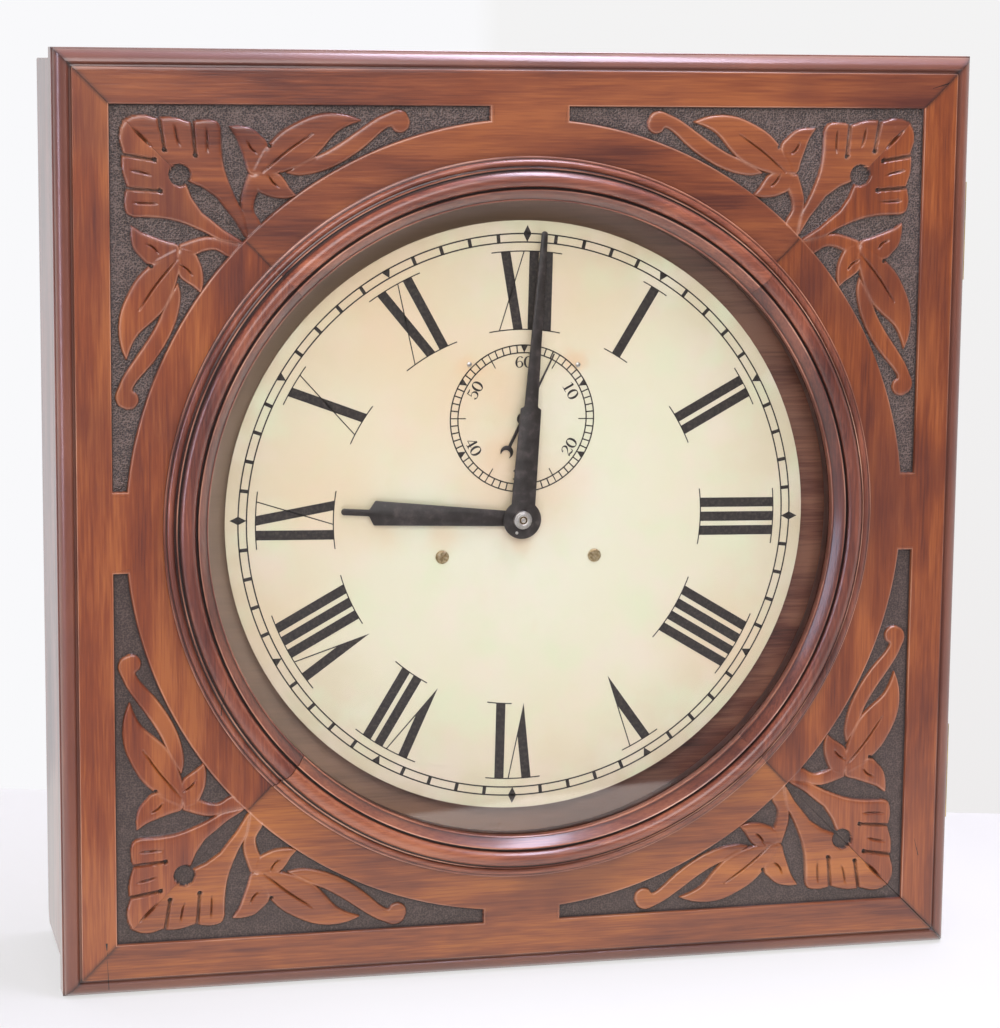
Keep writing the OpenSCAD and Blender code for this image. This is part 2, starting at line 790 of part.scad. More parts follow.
// Letters of the numerals, each centred on its own width, with ends on arcs round the dial's middle
stroke_w = 5.7;
hairline_w = 0.6;
serif_w = 5.6;
numeral_out_r = numeral_in_r + numeral_h;
// The strokes end in the middle of the serifs
stroke_in_r = numeral_in_r + hairline_w / 2;
stroke_out_r = numeral_out_r - hairline_w / 2;
// Half spread of the strokes of an X, and the far corners and the point of a V
cross_thick = 4.4;
cross_thin = 6.9;
vee_left = -7;
vee_right = 7.4;
vee_point = -1.4;
function letter_w(c) = c == "I" ? 8.6 : c == "V" ? 17 : 17.6;
function numeral_w(s, i = 0) = i >= len(s) ? 0 : letter_w(s[i]) + numeral_w(s, i + 1);
function letters_before(s, k, i = 0) = i >= k ? 0 : letter_w(s[i]) + letters_before(s, k, i + 1);
function on_arc(x, r) = [x, sqrt(r * r - x * x)];

module stroke(x_in, x_out, w) {
    polygon([on_arc(x_in - w / 2, stroke_in_r), on_arc(x_in + w / 2, stroke_in_r),
        on_arc(x_out + w / 2, stroke_out_r), on_arc(x_out - w / 2, stroke_out_r)]);
}

// The thick side of a V keeps its width until the hairline cuts it to a point
module vee(x) {
    thick = vee_left + stroke_w;
    thin = vee_right - hairline_w;
    share = (thin - thick) / (vee_right - vee_left);
    joint = [x + thin + (vee_point - vee_right) * share,
        (stroke_in_r - stroke_out_r) * share + on_arc(x + (thin + thick) / 2, stroke_out_r)[1]];
    polygon([on_arc(x + vee_point, numeral_in_r), on_arc(x + vee_right, stroke_out_r),
        on_arc(x + thin, stroke_out_r), joint, on_arc(x + thick, stroke_out_r),
        on_arc(x + vee_left, stroke_out_r)]);
}

module letter(c, x) {
    if (c == "I") stroke(x, x, stroke_w);
    if (c == "V") vee(x);
    if (c == "X") {
        stroke(x + cross_thick, x - cross_thick, stroke_w);
        stroke(x - cross_thin, x + cross_thin, hairline_w);
    }
}

module serif(a, b, r) {
    polygon(concat([for (i = [0 : 8]) on_arc(a + (b - a) * i / 8, r)],
        [for (i = [8 : -1 : 0]) on_arc(a + (b - a) * i / 8, r - hairline_w)]));
}

// The foot of a V has no serif, so there the inner one is under the other letters only
module numeral(s) {
    w = numeral_w(s);
    spare = (letter_w("I") - stroke_w) / 2 - serif_w;
    union() {
        for (k = [0 : len(s) - 1]) letter(s[k], letters_before(s, k) + letter_w(s[k]) / 2 - w / 2);
        serif(-w / 2 + spare, w / 2 - spare, numeral_out_r);
        if (s[0] != "V") serif(-w / 2 + spare, w / 2 - spare, numeral_in_r + hairline_w);
        else if (len(s) > 1)
            serif(-w / 2 + letter_w("V") - 2.4, w / 2 - spare, numeral_in_r + hairline_w);
    }
}

// Marks of the tracks: half width of a diamond, a pointer and a minute mark
diamond_w = 2.5;
pointer_w = 2.8;
minute_mark_w = 1.05;
line_w = 0.75;
second_line_w = 0.6;
second_long = 9.4;

NUMERALS = ["XII", "I", "II", "III", "IIII", "V", "VI", "VII", "VIII", "IX", "X", "XI"];

module dial_print() {
    color("#2a2522") turned() slab(dial_y - ink_t, dial_y) {
        line_ring(track_r, line_w);
        line_ring(track_r - track_w, line_w);
        for (i = [0 : 59]) rotate(-6 * i) translate([0, track_r]) {
            if (i % 15 == 0) polygon([[0, -track_w], [diamond_w, 0], [0, track_w], [-diamond_w, 0]]);
            else if (i % 5 == 0) polygon([[0, -track_w], [pointer_w, 0.2], [-pointer_w, 0.2]]);
            else translate([-minute_mark_w, -track_w]) square([2 * minute_mark_w, track_w]);
        }
        for (i = [0 : 11]) rotate(-30 * i) numeral(NUMERALS[i]);
        translate([0, seconds_z]) {
            line_ring(seconds_track_r, second_line_w);
            line_ring(seconds_track_r - seconds_track_w, second_line_w);
            for (i = [0 : 59]) rotate(-6 * i) translate([0, seconds_track_r]) {
                if (i % 10 == 0) polygon([[0, -seconds_track_w], [2.2, 0.1], [-2.2, 0.1]]);
                else translate([-second_line_w / 2, i % 5 == 0 ? -second_long : -seconds_track_w])
                    square([second_line_w, i % 5 == 0 ? second_long : seconds_track_w]);
            }
        }
    }
}

module dial_screws() {
    color("#a8884a") turned() {
        dial_post_places() screw_y(small_screw_r, screw_head_r, dial_y, front_plate_y - 1, slot_angle = 40);
        upper_post_places() {
            bar(dial_pin_head_r, dial_y - 0.9, dial_y);
            bar(dial_pin_r, dial_y - 0.01, front_plate_y - 1);
        }
    }
}

// Hands, each drawn pointing up from its arbor

// Outline that mirrors the right-hand points to the left
function both_sides(p) = concat(p, [for (i = [len(p) - 1 : -1 : 0]) [-p[i][0], p[i][1]]]);

module minute_hand() {
    shoulder = 67;
    tip = minute_l - 14;
    y = minute_hand_y;
    color("#161413") turned() rotate([0, minute_at, 0]) difference() {
        union() {
            bar(minute_hub_r, y, y + hand_t);
            slab(y, y + hand_t) polygon(both_sides([[7.4, 0], [6.3, shoulder - 0.8], [5.8, shoulder],
                [4.5, shoulder + 0.5], [4.1, shoulder + 1.4], [2.15, tip], [1.9, minute_l - 1.9]]));
            at(0, minute_l - 1.9) bar(1.95, y, y + hand_t);
        }
        bar(centre_arbor_r + 0.02, y - cut, y + hand_t + cut);
    }
}

module hour_hand() {
    shoulder = hour_l - 20;
    y = hour_hand_y;
    color("#161413") turned() rotate([0, hour_at, 0]) difference() {
        union() {
            bar(hour_pipe_r + 4, y, y + hand_t);
            slab(y, y + hand_t) polygon(both_sides([[4.7, 0], [4.7, 10], [7.35, shoulder - 0.7],
                [7.15, shoulder], [6.7, shoulder + 0.3], [2.3, shoulder + 2.9], [1.95, shoulder + 3.7],
                [1.95, hour_l - 2]]));
            at(0, hour_l - 2) bar(2, y, y + hand_t);
        }
        bar(hour_pipe_r + 0.02, y - cut, y + hand_t + cut);
    }
}

module seconds_hand() {
    y = second_hand_y;
    color("#23201e") turned() at(0, seconds_z) rotate([0, second_at, 0]) difference() {
        union() {
            bar(3.6, y, y + second_hand_t);
            slab(y, y + second_hand_t) polygon([[-0.9, -second_tail + 3.2], [-0.9, 0], [-0.35, second_l],
                [0.35, second_l], [0.9, 0], [0.9, -second_tail + 3.2]]);
            at(0, -second_tail) bar(3.9, y, y + second_hand_t);
        }
        // The tail ends in a crescent that opens away from the arbor
        at(0, -second_tail - 1.8) bar(2.9, y - cut, y + second_hand_t + cut);
        bar(pivot_r + 0.02, y - cut, y + second_hand_t + cut);
    }
}

module hand_nut() {
    color("#c4c2bd") turned() difference() {
        union() {
            bar(nut_r, minute_hand_y - nut_t + 0.8, minute_hand_y);
            bar(nut_r - 1.2, minute_hand_y - nut_t, minute_hand_y);
        }
        bar(centre_arbor_r + 0.02, minute_hand_y - nut_t - cut, minute_hand_y + cut);
    }
}

// Movement frame

module plate_outline() {
    translate([-plate_half_w, -plate_foot]) square([2 * plate_half_w, plate_top + plate_foot]);
}

module pillar_places() {
    for (sx = [-1, 1]) for (z = [pillar_top_z, pillar_low_z]) at(sx * pillar_x, z) children();
}

// Holes for every arbor that turns in both plates
module pivot_holes(y0, y1) {
    at(third_x, third_z) bar(pivot_r + running_gap, y0, y1);
    at(0, seconds_z) bar(pivot_r + running_gap, y0, y1);
    at(0, anchor_z) bar(pivot_r + running_gap, y0, y1);
    at(ratchet_x, ratchet_z) bar(pivot_r + running_gap, y0, y1);
    at(armature_x, armature_z) bar(pivot_r + running_gap, y0, y1);
    bar(centre_arbor_r + running_gap, y0, y1);
    pillar_places() bar(small_screw_r + running_gap, y0, y1);
}

module front_plate() {
    color("#b99a55") turned() {
        difference() {
            union() {
                slab(front_plate_y, gear_space_y) plate_outline();
                dial_post_places() bar(dial_post_r, dial_y + dial_t, front_plate_y + 0.5);
                upper_post_places() bar(upper_post_r, dial_y + dial_t, front_plate_y + 0.5);
                at(stud_d * cos(stud_angle), stud_d * sin(stud_angle))
                    bar(pivot_pin_r, dial_y + dial_t + 0.4, front_plate_y + 0.5);
            }
            pivot_holes(front_plate_y - cut, gear_space_y + cut);
            dial_post_places() bar(small_screw_r + running_gap, dial_y, front_plate_y - 0.5);
            upper_post_places() bar(dial_pin_r + running_gap, dial_y, front_plate_y - 0.5);
        }
    }
}

module back_plate() {
    color("#b99a55") turned() {
        difference() {
            slab(back_plate_y, movement_back_y) plate_outline();
            pivot_holes(back_plate_y - cut, movement_back_y + cut);
        }
        both_sides() at(post_x, post_z) bar(post_r, movement_back_y - 0.5, movement_back_y + post_l);
    }
}

module plate_pillars() {
    color("#b99a55") turned() pillar_places() difference() {
        bar(pillar_r, gear_space_y, back_plate_y);
        bar(small_screw_r + running_gap, gear_space_y - cut, back_plate_y + cut);
    }
}

module pillar_screws() {
    color("#8c8f92") turned() {
        pillar_places() screw_y(small_screw_r, 3, front_plate_y, gear_space_y + 12, slot_angle = 20);
        for (sx = [-1, 1]) {
            at(sx * pillar_x, pillar_top_z) rotate([0, 0, 180])
                screw_y(small_screw_r, 3, -movement_back_y, -back_plate_y + 12);
            at(sx * pillar_x, pillar_low_z) rotate([0, 0, 180])
                screw_y(small_screw_r, 3, -movement_back_y - bracket_pad_t, -back_plate_y + 12);
        }
    }
}

module bracket_screw_places() {
    offset = bracket_web_t / 2 + 4.5;
    both_sides() {
        at(pillar_x + offset, bracket_low + 16) children();
        at(pillar_x - offset, bracket_top - 8) children();
    }
}

// Two cast brackets hold the back plate off the back board
module movement_bracket() {
    color("#2d2c2b") turned() both_sides() difference() {
        union() {
            box(pillar_x - bracket_foot_w / 2, pillar_x + bracket_foot_w / 2,
                -back_t - bracket_foot_t, -back_t, bracket_low, bracket_top);
            translate([pillar_x - bracket_web_t / 2, 0, 0]) rotate([90, 0, 90]) linear_extrude(bracket_web_t)
                polygon([[movement_back_y, bracket_low], [-back_t - 1, bracket_low],
                    [-back_t - 1, bracket_top], [-back_t - bracket_foot_t - 4, bracket_top - 6],
                    [-back_t - 22, bracket_low + 42], [movement_back_y, bracket_low + 30]]);
            at(pillar_x, pillar_low_z + 3) box(-bracket_pad_w / 2, bracket_pad_w / 2, movement_back_y,
                movement_back_y + bracket_pad_t, -bracket_pad_h / 2, bracket_pad_h / 2);
        }
        // Well for the lower pillar screw and its head
        at(pillar_x, pillar_low_z)
            bar(small_screw_r + running_gap, movement_back_y - cut, movement_back_y + bracket_pad_t + cut);
        at(pillar_x, pillar_low_z)
            bar(3.6, movement_back_y + bracket_pad_t, movement_back_y + bracket_pad_t + 14);
        for (d = [[1, bracket_low + 16], [-1, bracket_top - 8]])
            at(pillar_x + d[0] * (bracket_web_t / 2 + 4.5), d[1])
                bar(small_screw_r + running_gap, -back_t - bracket_foot_t - cut, -back_t + cut);
    }
}

module bracket_screws() {
    color("#c9a864") turned() bracket_screw_places()
        screw_y(small_screw_r, screw_head_r, -back_t - bracket_foot_t, -2.5, slot_angle = 55);
}

// Wheels

module toothed_wheel(n, m, y, t, at_angle, bore = 0) {
    slab(y, y + t) difference() {
        polygon(toothed(n, m, at_angle));
        if (bore > 0) circle(bore);
    }
}

// Crossings that lighten a wheel, leaving four arms
module crossed_wheel(n, m, y, t, at_angle, hub_r, bore = 0) {
    rim_r = m * (n / 2 - tooth_root) - 3;
    slab(y, y + t) difference() {
        polygon(toothed(n, m, at_angle));
        difference() {
            circle(rim_r);
            circle(hub_r);
            for (a = [0, 90]) rotate(a + at_angle) square([2 * rim_r + 2, 4], center = true);
        }
        if (bore > 0) circle(bore);
    }
}

module arbor(y0 = front_plate_y, y1 = movement_back_y) {
    bar(arbor_r, gear_space_y + end_play, back_plate_y - end_play);
    bar(pivot_r, y0, y1);
}

third_dir = atan2(third_z, third_x);
third_leaf_at = meshed(centre_teeth, 0, third_leaves, third_dir);
escape_dir = atan2(seconds_z - third_z, -third_x);
escape_leaf_at = meshed(third_teeth, 0, escape_leaves, escape_dir);
minute_tooth_at = meshed(cannon_leaves, 0, minute_teeth, stud_angle);
hour_tooth_at = meshed(minute_leaves, 0, hour_teeth, stud_angle + 180);
winding_leaf_at = meshed(winding_teeth, 0, winding_leaves, winding_angle);

module centre_wheel() {
    color("#c7a75c") turned() {
        bar(centre_arbor_r, minute_hand_y - nut_t + 0.4, movement_back_y);
        crossed_wheel(centre_teeth, train_m, centre_wheel_y, centre_wheel_t, 0, 8);
        bar(6, centre_wheel_y + centre_wheel_t - 0.01, centre_wheel_y + centre_wheel_t + 3);
    }
}

module cannon_pinion() {
    color("#9a9c9e") turned() difference() {
        union() {
            slab(cannon_y, front_plate_y - end_play) polygon(toothed(cannon_leaves, cannon_m, 0));
            bar(cannon_r, minute_hand_y + hand_t, front_plate_y - end_play);
        }
        bar(centre_arbor_r + running_gap, minute_hand_y, front_plate_y + cut);
    }
}

module minute_wheel() {
    color("#c7a75c") turned() at(stud_d * cos(stud_angle), stud_d * sin(stud_angle)) {
        toothed_wheel(minute_teeth, cannon_m, minute_wheel_y, minute_wheel_t, minute_tooth_at,
            pivot_pin_r + running_gap);
        toothed_wheel(minute_leaves, hour_m, minute_wheel_y - 3.2, 3.21, 0, pivot_pin_r + running_gap);
    }
}

module hour_wheel() {
    color("#c7a75c") turned() difference() {
        union() {
            slab(hour_wheel_y, hour_wheel_y + hour_wheel_t)
                polygon(toothed(hour_teeth, hour_m, hour_tooth_at));
            bar(hour_pipe_r, hour_hand_y, hour_wheel_y + hour_wheel_t);
        }
        bar(hour_pipe_in_r, hour_hand_y - cut, hour_wheel_y + hour_wheel_t + cut);
    }
}

module third_wheel() {
    color("#c7a75c") turned() at(third_x, third_z) {
        arbor();
        crossed_wheel(third_teeth, train_m, third_wheel_y, third_wheel_t, 0, 7);
        slab(centre_wheel_y - 3, centre_wheel_y + centre_wheel_t + 3)
            polygon(toothed(third_leaves, train_m, third_leaf_at));
    }
}

// Sharp teeth that lean the way the wheel turns
function ratchet_outline(n, r, depth, lean) = [for (i = [0 : n - 1]) for (k = [0, 1])
    let (a = (i + k * lean) * 360 / n, d = k == 0 ? depth : 0) [(r - d) * cos(a), (r - d) * sin(a)]];

module escape_wheel() {
    color("#c7a75c") turned() at(0, seconds_z) {
        arbor(second_hand_y - 0.4);
        slab(escape_wheel_y, escape_wheel_y + escape_wheel_t) difference() {
            polygon(ratchet_outline(escape_teeth, escape_r, 1.6, 0.25));
            difference() {
                circle(12.5);
                circle(5);
                for (a = [0, 90]) rotate(a) square([27, 2.6], center = true);
            }
        }
        slab(third_wheel_y - 3, third_wheel_y + third_wheel_t + 3)
            polygon(toothed(escape_leaves, train_m, escape_leaf_at));
    }
}

// Anchor with two pallets that ride just outside the wheel, and the crutch behind the back plate
module anchor() {
    fork_z = -44;
    fork_in = rod_r + 0.3;
    turn = anchor_swing_place();
    x = (escape_r + pallet_gap) * sin(30);
    z = (escape_r + pallet_gap) * cos(30) - anchor_rise;
    color("#8f9294") translate([turn[0], 0, turn[1]]) {
        bar(arbor_r, gear_space_y + end_play, back_plate_y - end_play);
        bar(pivot_r, front_plate_y, movement_back_y + 4);
        slab(escape_wheel_y - 1, escape_wheel_y + escape_wheel_t + 1) {
            circle(3.2);
            polygon([[0, 2.8], [-x - 0.4, z + 4.6], [-x - 1.5, z + 0.8], [-x, z], [-x + 1.2, z + 3],
                [0, -0.4], [x - 1.2, z + 3], [x, z], [x + 1.5, z + 0.8], [x + 0.4, z + 4.6]]);
        }
        slab(movement_back_y + 1.6, movement_back_y + 2.8) {
            circle(3.2);
            translate([-1.5, fork_z]) square([3, -fork_z]);
            translate([-fork_in - 1.4, fork_z]) square([2 * fork_in + 2.8, 3]);
        }
        for (s = [-1, 1]) translate([s * (fork_in + 0.7) - 0.7, movement_back_y + 1.6, fork_z])
            cube([1.4, pendulum_back + 2, 3]);
    }
}

// The anchor's arbor and the suspension share one axis, which hangs plumb
function anchor_swing_place() = [anchor_z * sin(dial_turn), anchor_z * cos(dial_turn)];

module winding_wheel() {
    color("#c7a75c") turned() difference() {
        union() {
            crossed_wheel(winding_teeth, winding_m, winding_wheel_y, winding_wheel_t, 0, drum_r);
            bar(drum_r, winding_wheel_y + winding_wheel_t - 0.01,
                winding_wheel_y + winding_wheel_t + drum_t);
        }
        bar(centre_arbor_r + running_gap, winding_wheel_y - cut,
            winding_wheel_y + winding_wheel_t + drum_t + cut);
    }
}

module ratchet_wheel() {
    color("#9a9c9e") turned() at(ratchet_x, ratchet_z) {
        arbor();
        slab(ratchet_y, ratchet_y + ratchet_t) polygon(ratchet_outline(ratchet_teeth, ratchet_r, 1.6, 0.15));
        slab(winding_wheel_y - 2, winding_wheel_y + winding_wheel_t + 2)
            polygon(toothed(winding_leaves, winding_m, winding_leaf_at));
    }
}

// Iron bar that the magnet pulls down, with the pawl that pushes the ratchet round
module armature() {
    pawl_x = ratchet_x + ratchet_r + pawl_in;
    color("#5f6062") turned() {
        at(armature_x, armature_z) arbor();
        box(armature_x - 4, armature_right, magnet_y - magnet_half_y, magnet_y + magnet_half_y,
            armature_z - armature_half_t, armature_z + armature_half_t);
        box(pawl_x, pawl_x + pawl_w, ratchet_y, magnet_y, armature_z - armature_half_t,
            armature_z + armature_half_t);
        slab(ratchet_y, ratchet_y + ratchet_t) polygon([[pawl_x, armature_z], [pawl_x + pawl_w, armature_z],
            [pawl_x + pawl_w - 0.4, ratchet_z + 5], [pawl_x, ratchet_z + 5]]);
    }
}

module magnet_yoke() {
    color("#6b6c6e") turned() {
        box(-coil_x - 8, coil_x + 8, magnet_y - magnet_half_y, magnet_y + magnet_half_y,
            yoke_z, yoke_z + yoke_t);
        box(-6, 6, magnet_y, back_plate_y, yoke_z, yoke_z + yoke_t);
        for (s = [-1, 1]) translate([s * coil_x, magnet_y, yoke_z + yoke_t - 0.5])
            cylinder(r = core_r, h = core_top - yoke_z - yoke_t + 0.5);
    }
}

module magnet_coils() {
    flange = 1.5;
    low = yoke_z + yoke_t;
    color("#7a2f22") turned() for (s = [-1, 1]) translate([s * coil_x, magnet_y, low]) rotate_extrude()
        polygon([[core_r + 0.1, 0], [coil_r, 0], [coil_r, flange], [coil_r - 1, flange],
            [coil_r - 1, coil_top - low - flange], [coil_r, coil_top - low - flange],
            [coil_r, coil_top - low], [core_r + 0.1, coil_top - low]]);
}

// Two contact blades in an insulating block on the back plate
module contact_springs() {
    color("#a8884a") turned() {
        box(38, 52, back_plate_y - 12, back_plate_y, 14, 26);
        for (x = [41, 47]) box(x, x + 0.5, back_plate_y - 11, back_plate_y - 5, -8, 14.5);
    }
}

// Pendulum

module suspension_cock() {
    p = anchor_swing_place();
    ear_y = pendulum_y + spring_w / 2 + 1.5;
    color("#b99a55") translate([p[0], 0, p[1]]) {
        box(-10, 10, movement_back_y, ear_y + 3, block_half + 3, block_half + 13);
        box(-5, 5, ear_y, ear_y + 3, -block_half, block_half + 4);
        bar(pivot_pin_r, pendulum_y - spring_w / 2 - 1.5, ear_y + 0.5);
    }
}

module suspension_spring() {
    p = anchor_swing_place();
    w = spring_w / 2;
    color("#8f9294") translate([p[0], pendulum_y, p[1]]) {
        difference() {
            box(-block_half, block_half, -w, w, -block_half, block_half);
            bar(pivot_pin_r + running_gap, -w - cut, w + cut);
        }
        box(-spring_t / 2, spring_t / 2, -w + 0.5, w - 0.5, -block_half - spring_l, -block_half + 0.1);
        box(-rod_r - 1, rod_r + 1, -w, w, -block_half - spring_l - clamp_l, -block_half - spring_l);
    }
}

module pendulum_rod() {
    p = anchor_swing_place();
    top = p[1] - block_half - spring_l - clamp_l;
    foot = p[1] - pendulum_l - bob_r - rod_tail;
    color("#c2a05a") translate([p[0], pendulum_y, foot]) cylinder(r = rod_r, h = top - foot);
}

module pendulum_bob() {
    p = anchor_swing_place();
    h = bob_t / 2;
    sphere_r = (bob_r * bob_r + (h - bob_rim / 2) * (h - bob_rim / 2)) / (2 * (h - bob_rim / 2));
    span = asin(bob_r / sphere_r);
    color("#c9a24c") translate([p[0], pendulum_y, p[1] - pendulum_l]) difference() {
        rotate([90, 0, 0]) rotate_extrude($fn = 96) polygon(concat(
            [for (k = [0 : 8]) let (a = span * k / 8) [sphere_r * sin(a), h - sphere_r * (1 - cos(a))]],
            [for (k = [8 : -1 : 0]) let (a = span * k / 8)
                [sphere_r * sin(a), -h + sphere_r * (1 - cos(a))]]));
        translate([0, 0, -bob_r - cut]) cylinder(r = rod_r + bob_play, h = 2 * bob_r + 2 * cut);
    }
}

module rating_nut() {
    p = anchor_swing_place();
    color("#c9a24c") translate([p[0], pendulum_y, p[1] - pendulum_l - bob_r - nut_h - 0.2]) difference() {
        linear_extrude(nut_h) polygon([for (i = [0 : 47])
            let (r = i % 2 == 0 ? nut_outer_r : nut_outer_r - 0.6) [r * cos(7.5 * i), r * sin(7.5 * i)]]);
        translate([0, 0, -cut]) cylinder(r = rod_r + bob_play, h = nut_h + 2 * cut);
    }
}

// Dry cells

module dry_cell() {
    r = cell_dia / 2;
    translate([cell_x, cell_y, -case_in_z]) {
        cylinder(r = r, h = cell_h - 4);
        cylinder(r = r - 2, h = cell_h);
        cylinder(r = carbon_r, h = cell_h + 3);
        cylinder(r = terminal_r, h = cell_h + 3 + terminal_h + 4);
        translate([0, 0, cell_h + 3 + 2]) cylinder(r = terminal_r + 2.5, h = 4);
        translate([-r + 9, 0, 0]) cylinder(r = terminal_r, h = cell_h + terminal_h - 3);
    }
}

module dry_cell_left() {
    color("#3f5a44") mirror([1, 0, 0]) dry_cell();
}

module dry_cell_right() {
    color("#3f5a44") dry_cell();
}

case_left_side();
case_right_side();
case_top();
case_bottom();
case_back();
dial_mat();
mat_blocks();
mat_screws();
hanger_plate();
hanger_screws();
hinge_case_leaves();
hinge_door_leaves();
door_top_rail();
door_right_stile();
door_bottom_rail();
door_left_stile();
bezel_top();
bezel_right();
bezel_bottom();
bezel_left();
door_glass();
glass_ring();
door_stud();
door_hook();
hook_screw();
dial();
dial_print();
dial_screws();
hour_hand();
minute_hand();
seconds_hand();
hand_nut();
front_plate();
back_plate();
plate_pillars();
pillar_screws();
movement_bracket();
bracket_screws();
centre_wheel();
cannon_pinion();
minute_wheel();
hour_wheel();
third_wheel();
escape_wheel();
anchor();
winding_wheel();
ratchet_wheel();
armature();
magnet_yoke();
magnet_coils();
contact_springs();
suspension_cock();
suspension_spring();
pendulum_rod();
pendulum_bob();
rating_nut();
dry_cell_left();
dry_cell_right();
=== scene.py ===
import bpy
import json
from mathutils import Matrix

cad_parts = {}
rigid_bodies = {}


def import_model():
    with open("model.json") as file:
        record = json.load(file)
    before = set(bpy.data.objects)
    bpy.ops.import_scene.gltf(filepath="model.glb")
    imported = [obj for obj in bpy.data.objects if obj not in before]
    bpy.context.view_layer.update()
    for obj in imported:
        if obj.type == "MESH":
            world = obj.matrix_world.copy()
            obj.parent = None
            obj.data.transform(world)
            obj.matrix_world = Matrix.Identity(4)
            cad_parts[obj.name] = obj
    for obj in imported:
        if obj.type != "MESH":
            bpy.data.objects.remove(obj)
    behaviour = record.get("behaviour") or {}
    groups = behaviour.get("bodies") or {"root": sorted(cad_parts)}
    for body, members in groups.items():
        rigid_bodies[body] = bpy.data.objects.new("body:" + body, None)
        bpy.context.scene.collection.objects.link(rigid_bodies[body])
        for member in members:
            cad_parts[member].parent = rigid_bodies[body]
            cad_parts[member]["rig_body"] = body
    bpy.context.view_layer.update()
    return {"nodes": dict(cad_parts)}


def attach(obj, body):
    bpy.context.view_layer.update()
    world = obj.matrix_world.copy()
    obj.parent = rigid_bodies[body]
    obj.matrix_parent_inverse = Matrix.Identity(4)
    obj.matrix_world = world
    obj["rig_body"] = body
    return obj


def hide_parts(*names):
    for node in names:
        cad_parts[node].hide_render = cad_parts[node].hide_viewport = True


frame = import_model()

import json
import math

import bmesh
import bpy
import numpy as np
from mathutils import Matrix, Vector

mm = 0.001
scene = bpy.context.scene
cadNodes = frame["nodes"]
dialTurn = 1.0   # degrees that the dial and the movement hang out of plumb


def linear(hexColour):
    parts = [int(hexColour[i:i + 2], 16) / 255 for i in (1, 3, 5)]
    return tuple(p / 12.92 if p <= 0.04045 else ((p + 0.055) / 1.055) ** 2.4 for p in parts) + (1.0,)


# Adds one node with its settings, and gives each input a value, a #rrggbb colour, a link or a list of links
def addNode(tree, kind, inputs=None, **settings):
    node = tree.nodes.new(kind)
    for name, value in settings.items():
        setattr(node, name, value)
    for name, value in (inputs or {}).items():
        for source in value if isinstance(value, list) else [value]:
            if isinstance(source, bpy.types.NodeSocket):
                tree.links.new(source, node.inputs[name])
            else:
                node.inputs[name].default_value = linear(source) if str(source).startswith("#") else source
    return node


# Does the same and hands on the node's first output, as the functions after it do with the output that they name
def wire(tree, kind, inputs=None, **settings):
    return addNode(tree, kind, inputs, **settings).outputs[0]


def calc(tree, operation, *values, clamp=False):
    return wire(tree, "ShaderNodeMath", dict(enumerate(values)), operation=operation, use_clamp=clamp)


def vectorCalc(tree, operation, *values):
    made = addNode(tree, "ShaderNodeVectorMath", dict(enumerate(values)), operation=operation).outputs
    return made["Value" if operation in ("DISTANCE", "DOT_PRODUCT", "LENGTH") else "Vector"]


def mixValue(tree, part, low, high):
    return wire(tree, "ShaderNodeMix", {0: part, 2: low, 3: high})


def mixColour(tree, part, low, high):
    return addNode(tree, "ShaderNodeMix", {0: part, 6: low, 7: high}, data_type="RGBA").outputs[2]


def remap(tree, value, fromLow, fromHigh, low=0.0, high=1.0, **settings):
    return wire(tree, "ShaderNodeMapRange", {"Value": value, "From Min": fromLow, "From Max": fromHigh,
                                             "To Min": low, "To Max": high}, **settings)


def noise(tree, place, scale, detail, roughness=0.5, distortion=0.0):
    return wire(tree, "ShaderNodeTexNoise", {"Vector": place, "Scale": scale, "Detail": detail,
                                             "Roughness": roughness, "Distortion": distortion})


def bumps(tree, height, strength, distance):
    return wire(tree, "ShaderNodeBump", {"Height": height, "Strength": strength, "Distance": distance})


def ramp(tree, value, places, colours):
    node = addNode(tree, "ShaderNodeValToRGB", {"Fac": value})
    stops = node.color_ramp.elements
    stops.remove(stops[-1])
    stops[0].position, stops[0].color = places[0], linear(colours[0])
    for place, colour in zip(places[1:], colours[1:]):
        stops.new(place).color = linear(colour)
    return node.outputs[0]


def combine(tree, x=0.0, y=0.0, z=0.0):
    return wire(tree, "ShaderNodeCombineXYZ", {0: x, 1: y, 2: z})


def separate(tree, place):
    return addNode(tree, "ShaderNodeSeparateXYZ", {0: place}).outputs


def objectPlace(tree):
    return addNode(tree, "ShaderNodeTexCoord").outputs["Object"]


def feed(tree, shader, links):
    for name, source in links.items():
        tree.links.new(source, shader.inputs[name])


def emptyMaterial(name):
    material = bpy.data.materials.new(name)
    material.use_nodes = True
    material.node_tree.nodes.clear()
    return material, material.node_tree


def newMaterial(name, flat):
    material, tree = emptyMaterial(name)
    shader = addNode(tree, "ShaderNodeBsdfPrincipled", flat)
    addNode(tree, "ShaderNodeOutputMaterial", {"Surface": shader.outputs["BSDF"]})
    return material, tree, shader


# Starts a Geometry Nodes tree, with its inputs' kinds by name
def groupTree(name, inputs, result):
    tree = bpy.data.node_groups.new(name, "GeometryNodeTree")
    for socket, kind in inputs.items():
        tree.interface.new_socket(socket, in_out="INPUT", socket_type="NodeSocket" + kind)
    tree.interface.new_socket(result, in_out="OUTPUT", socket_type="NodeSocketGeometry")
    return tree, addNode(tree, "NodeGroupInput").outputs


def finishTree(tree, geometry, material):
    real = wire(tree, "GeometryNodeRealizeInstances", {"Geometry": geometry})
    done = wire(tree, "GeometryNodeSetMaterial", {"Geometry": real, "Material": material})
    addNode(tree, "NodeGroupOutput", {0: done})
    return tree


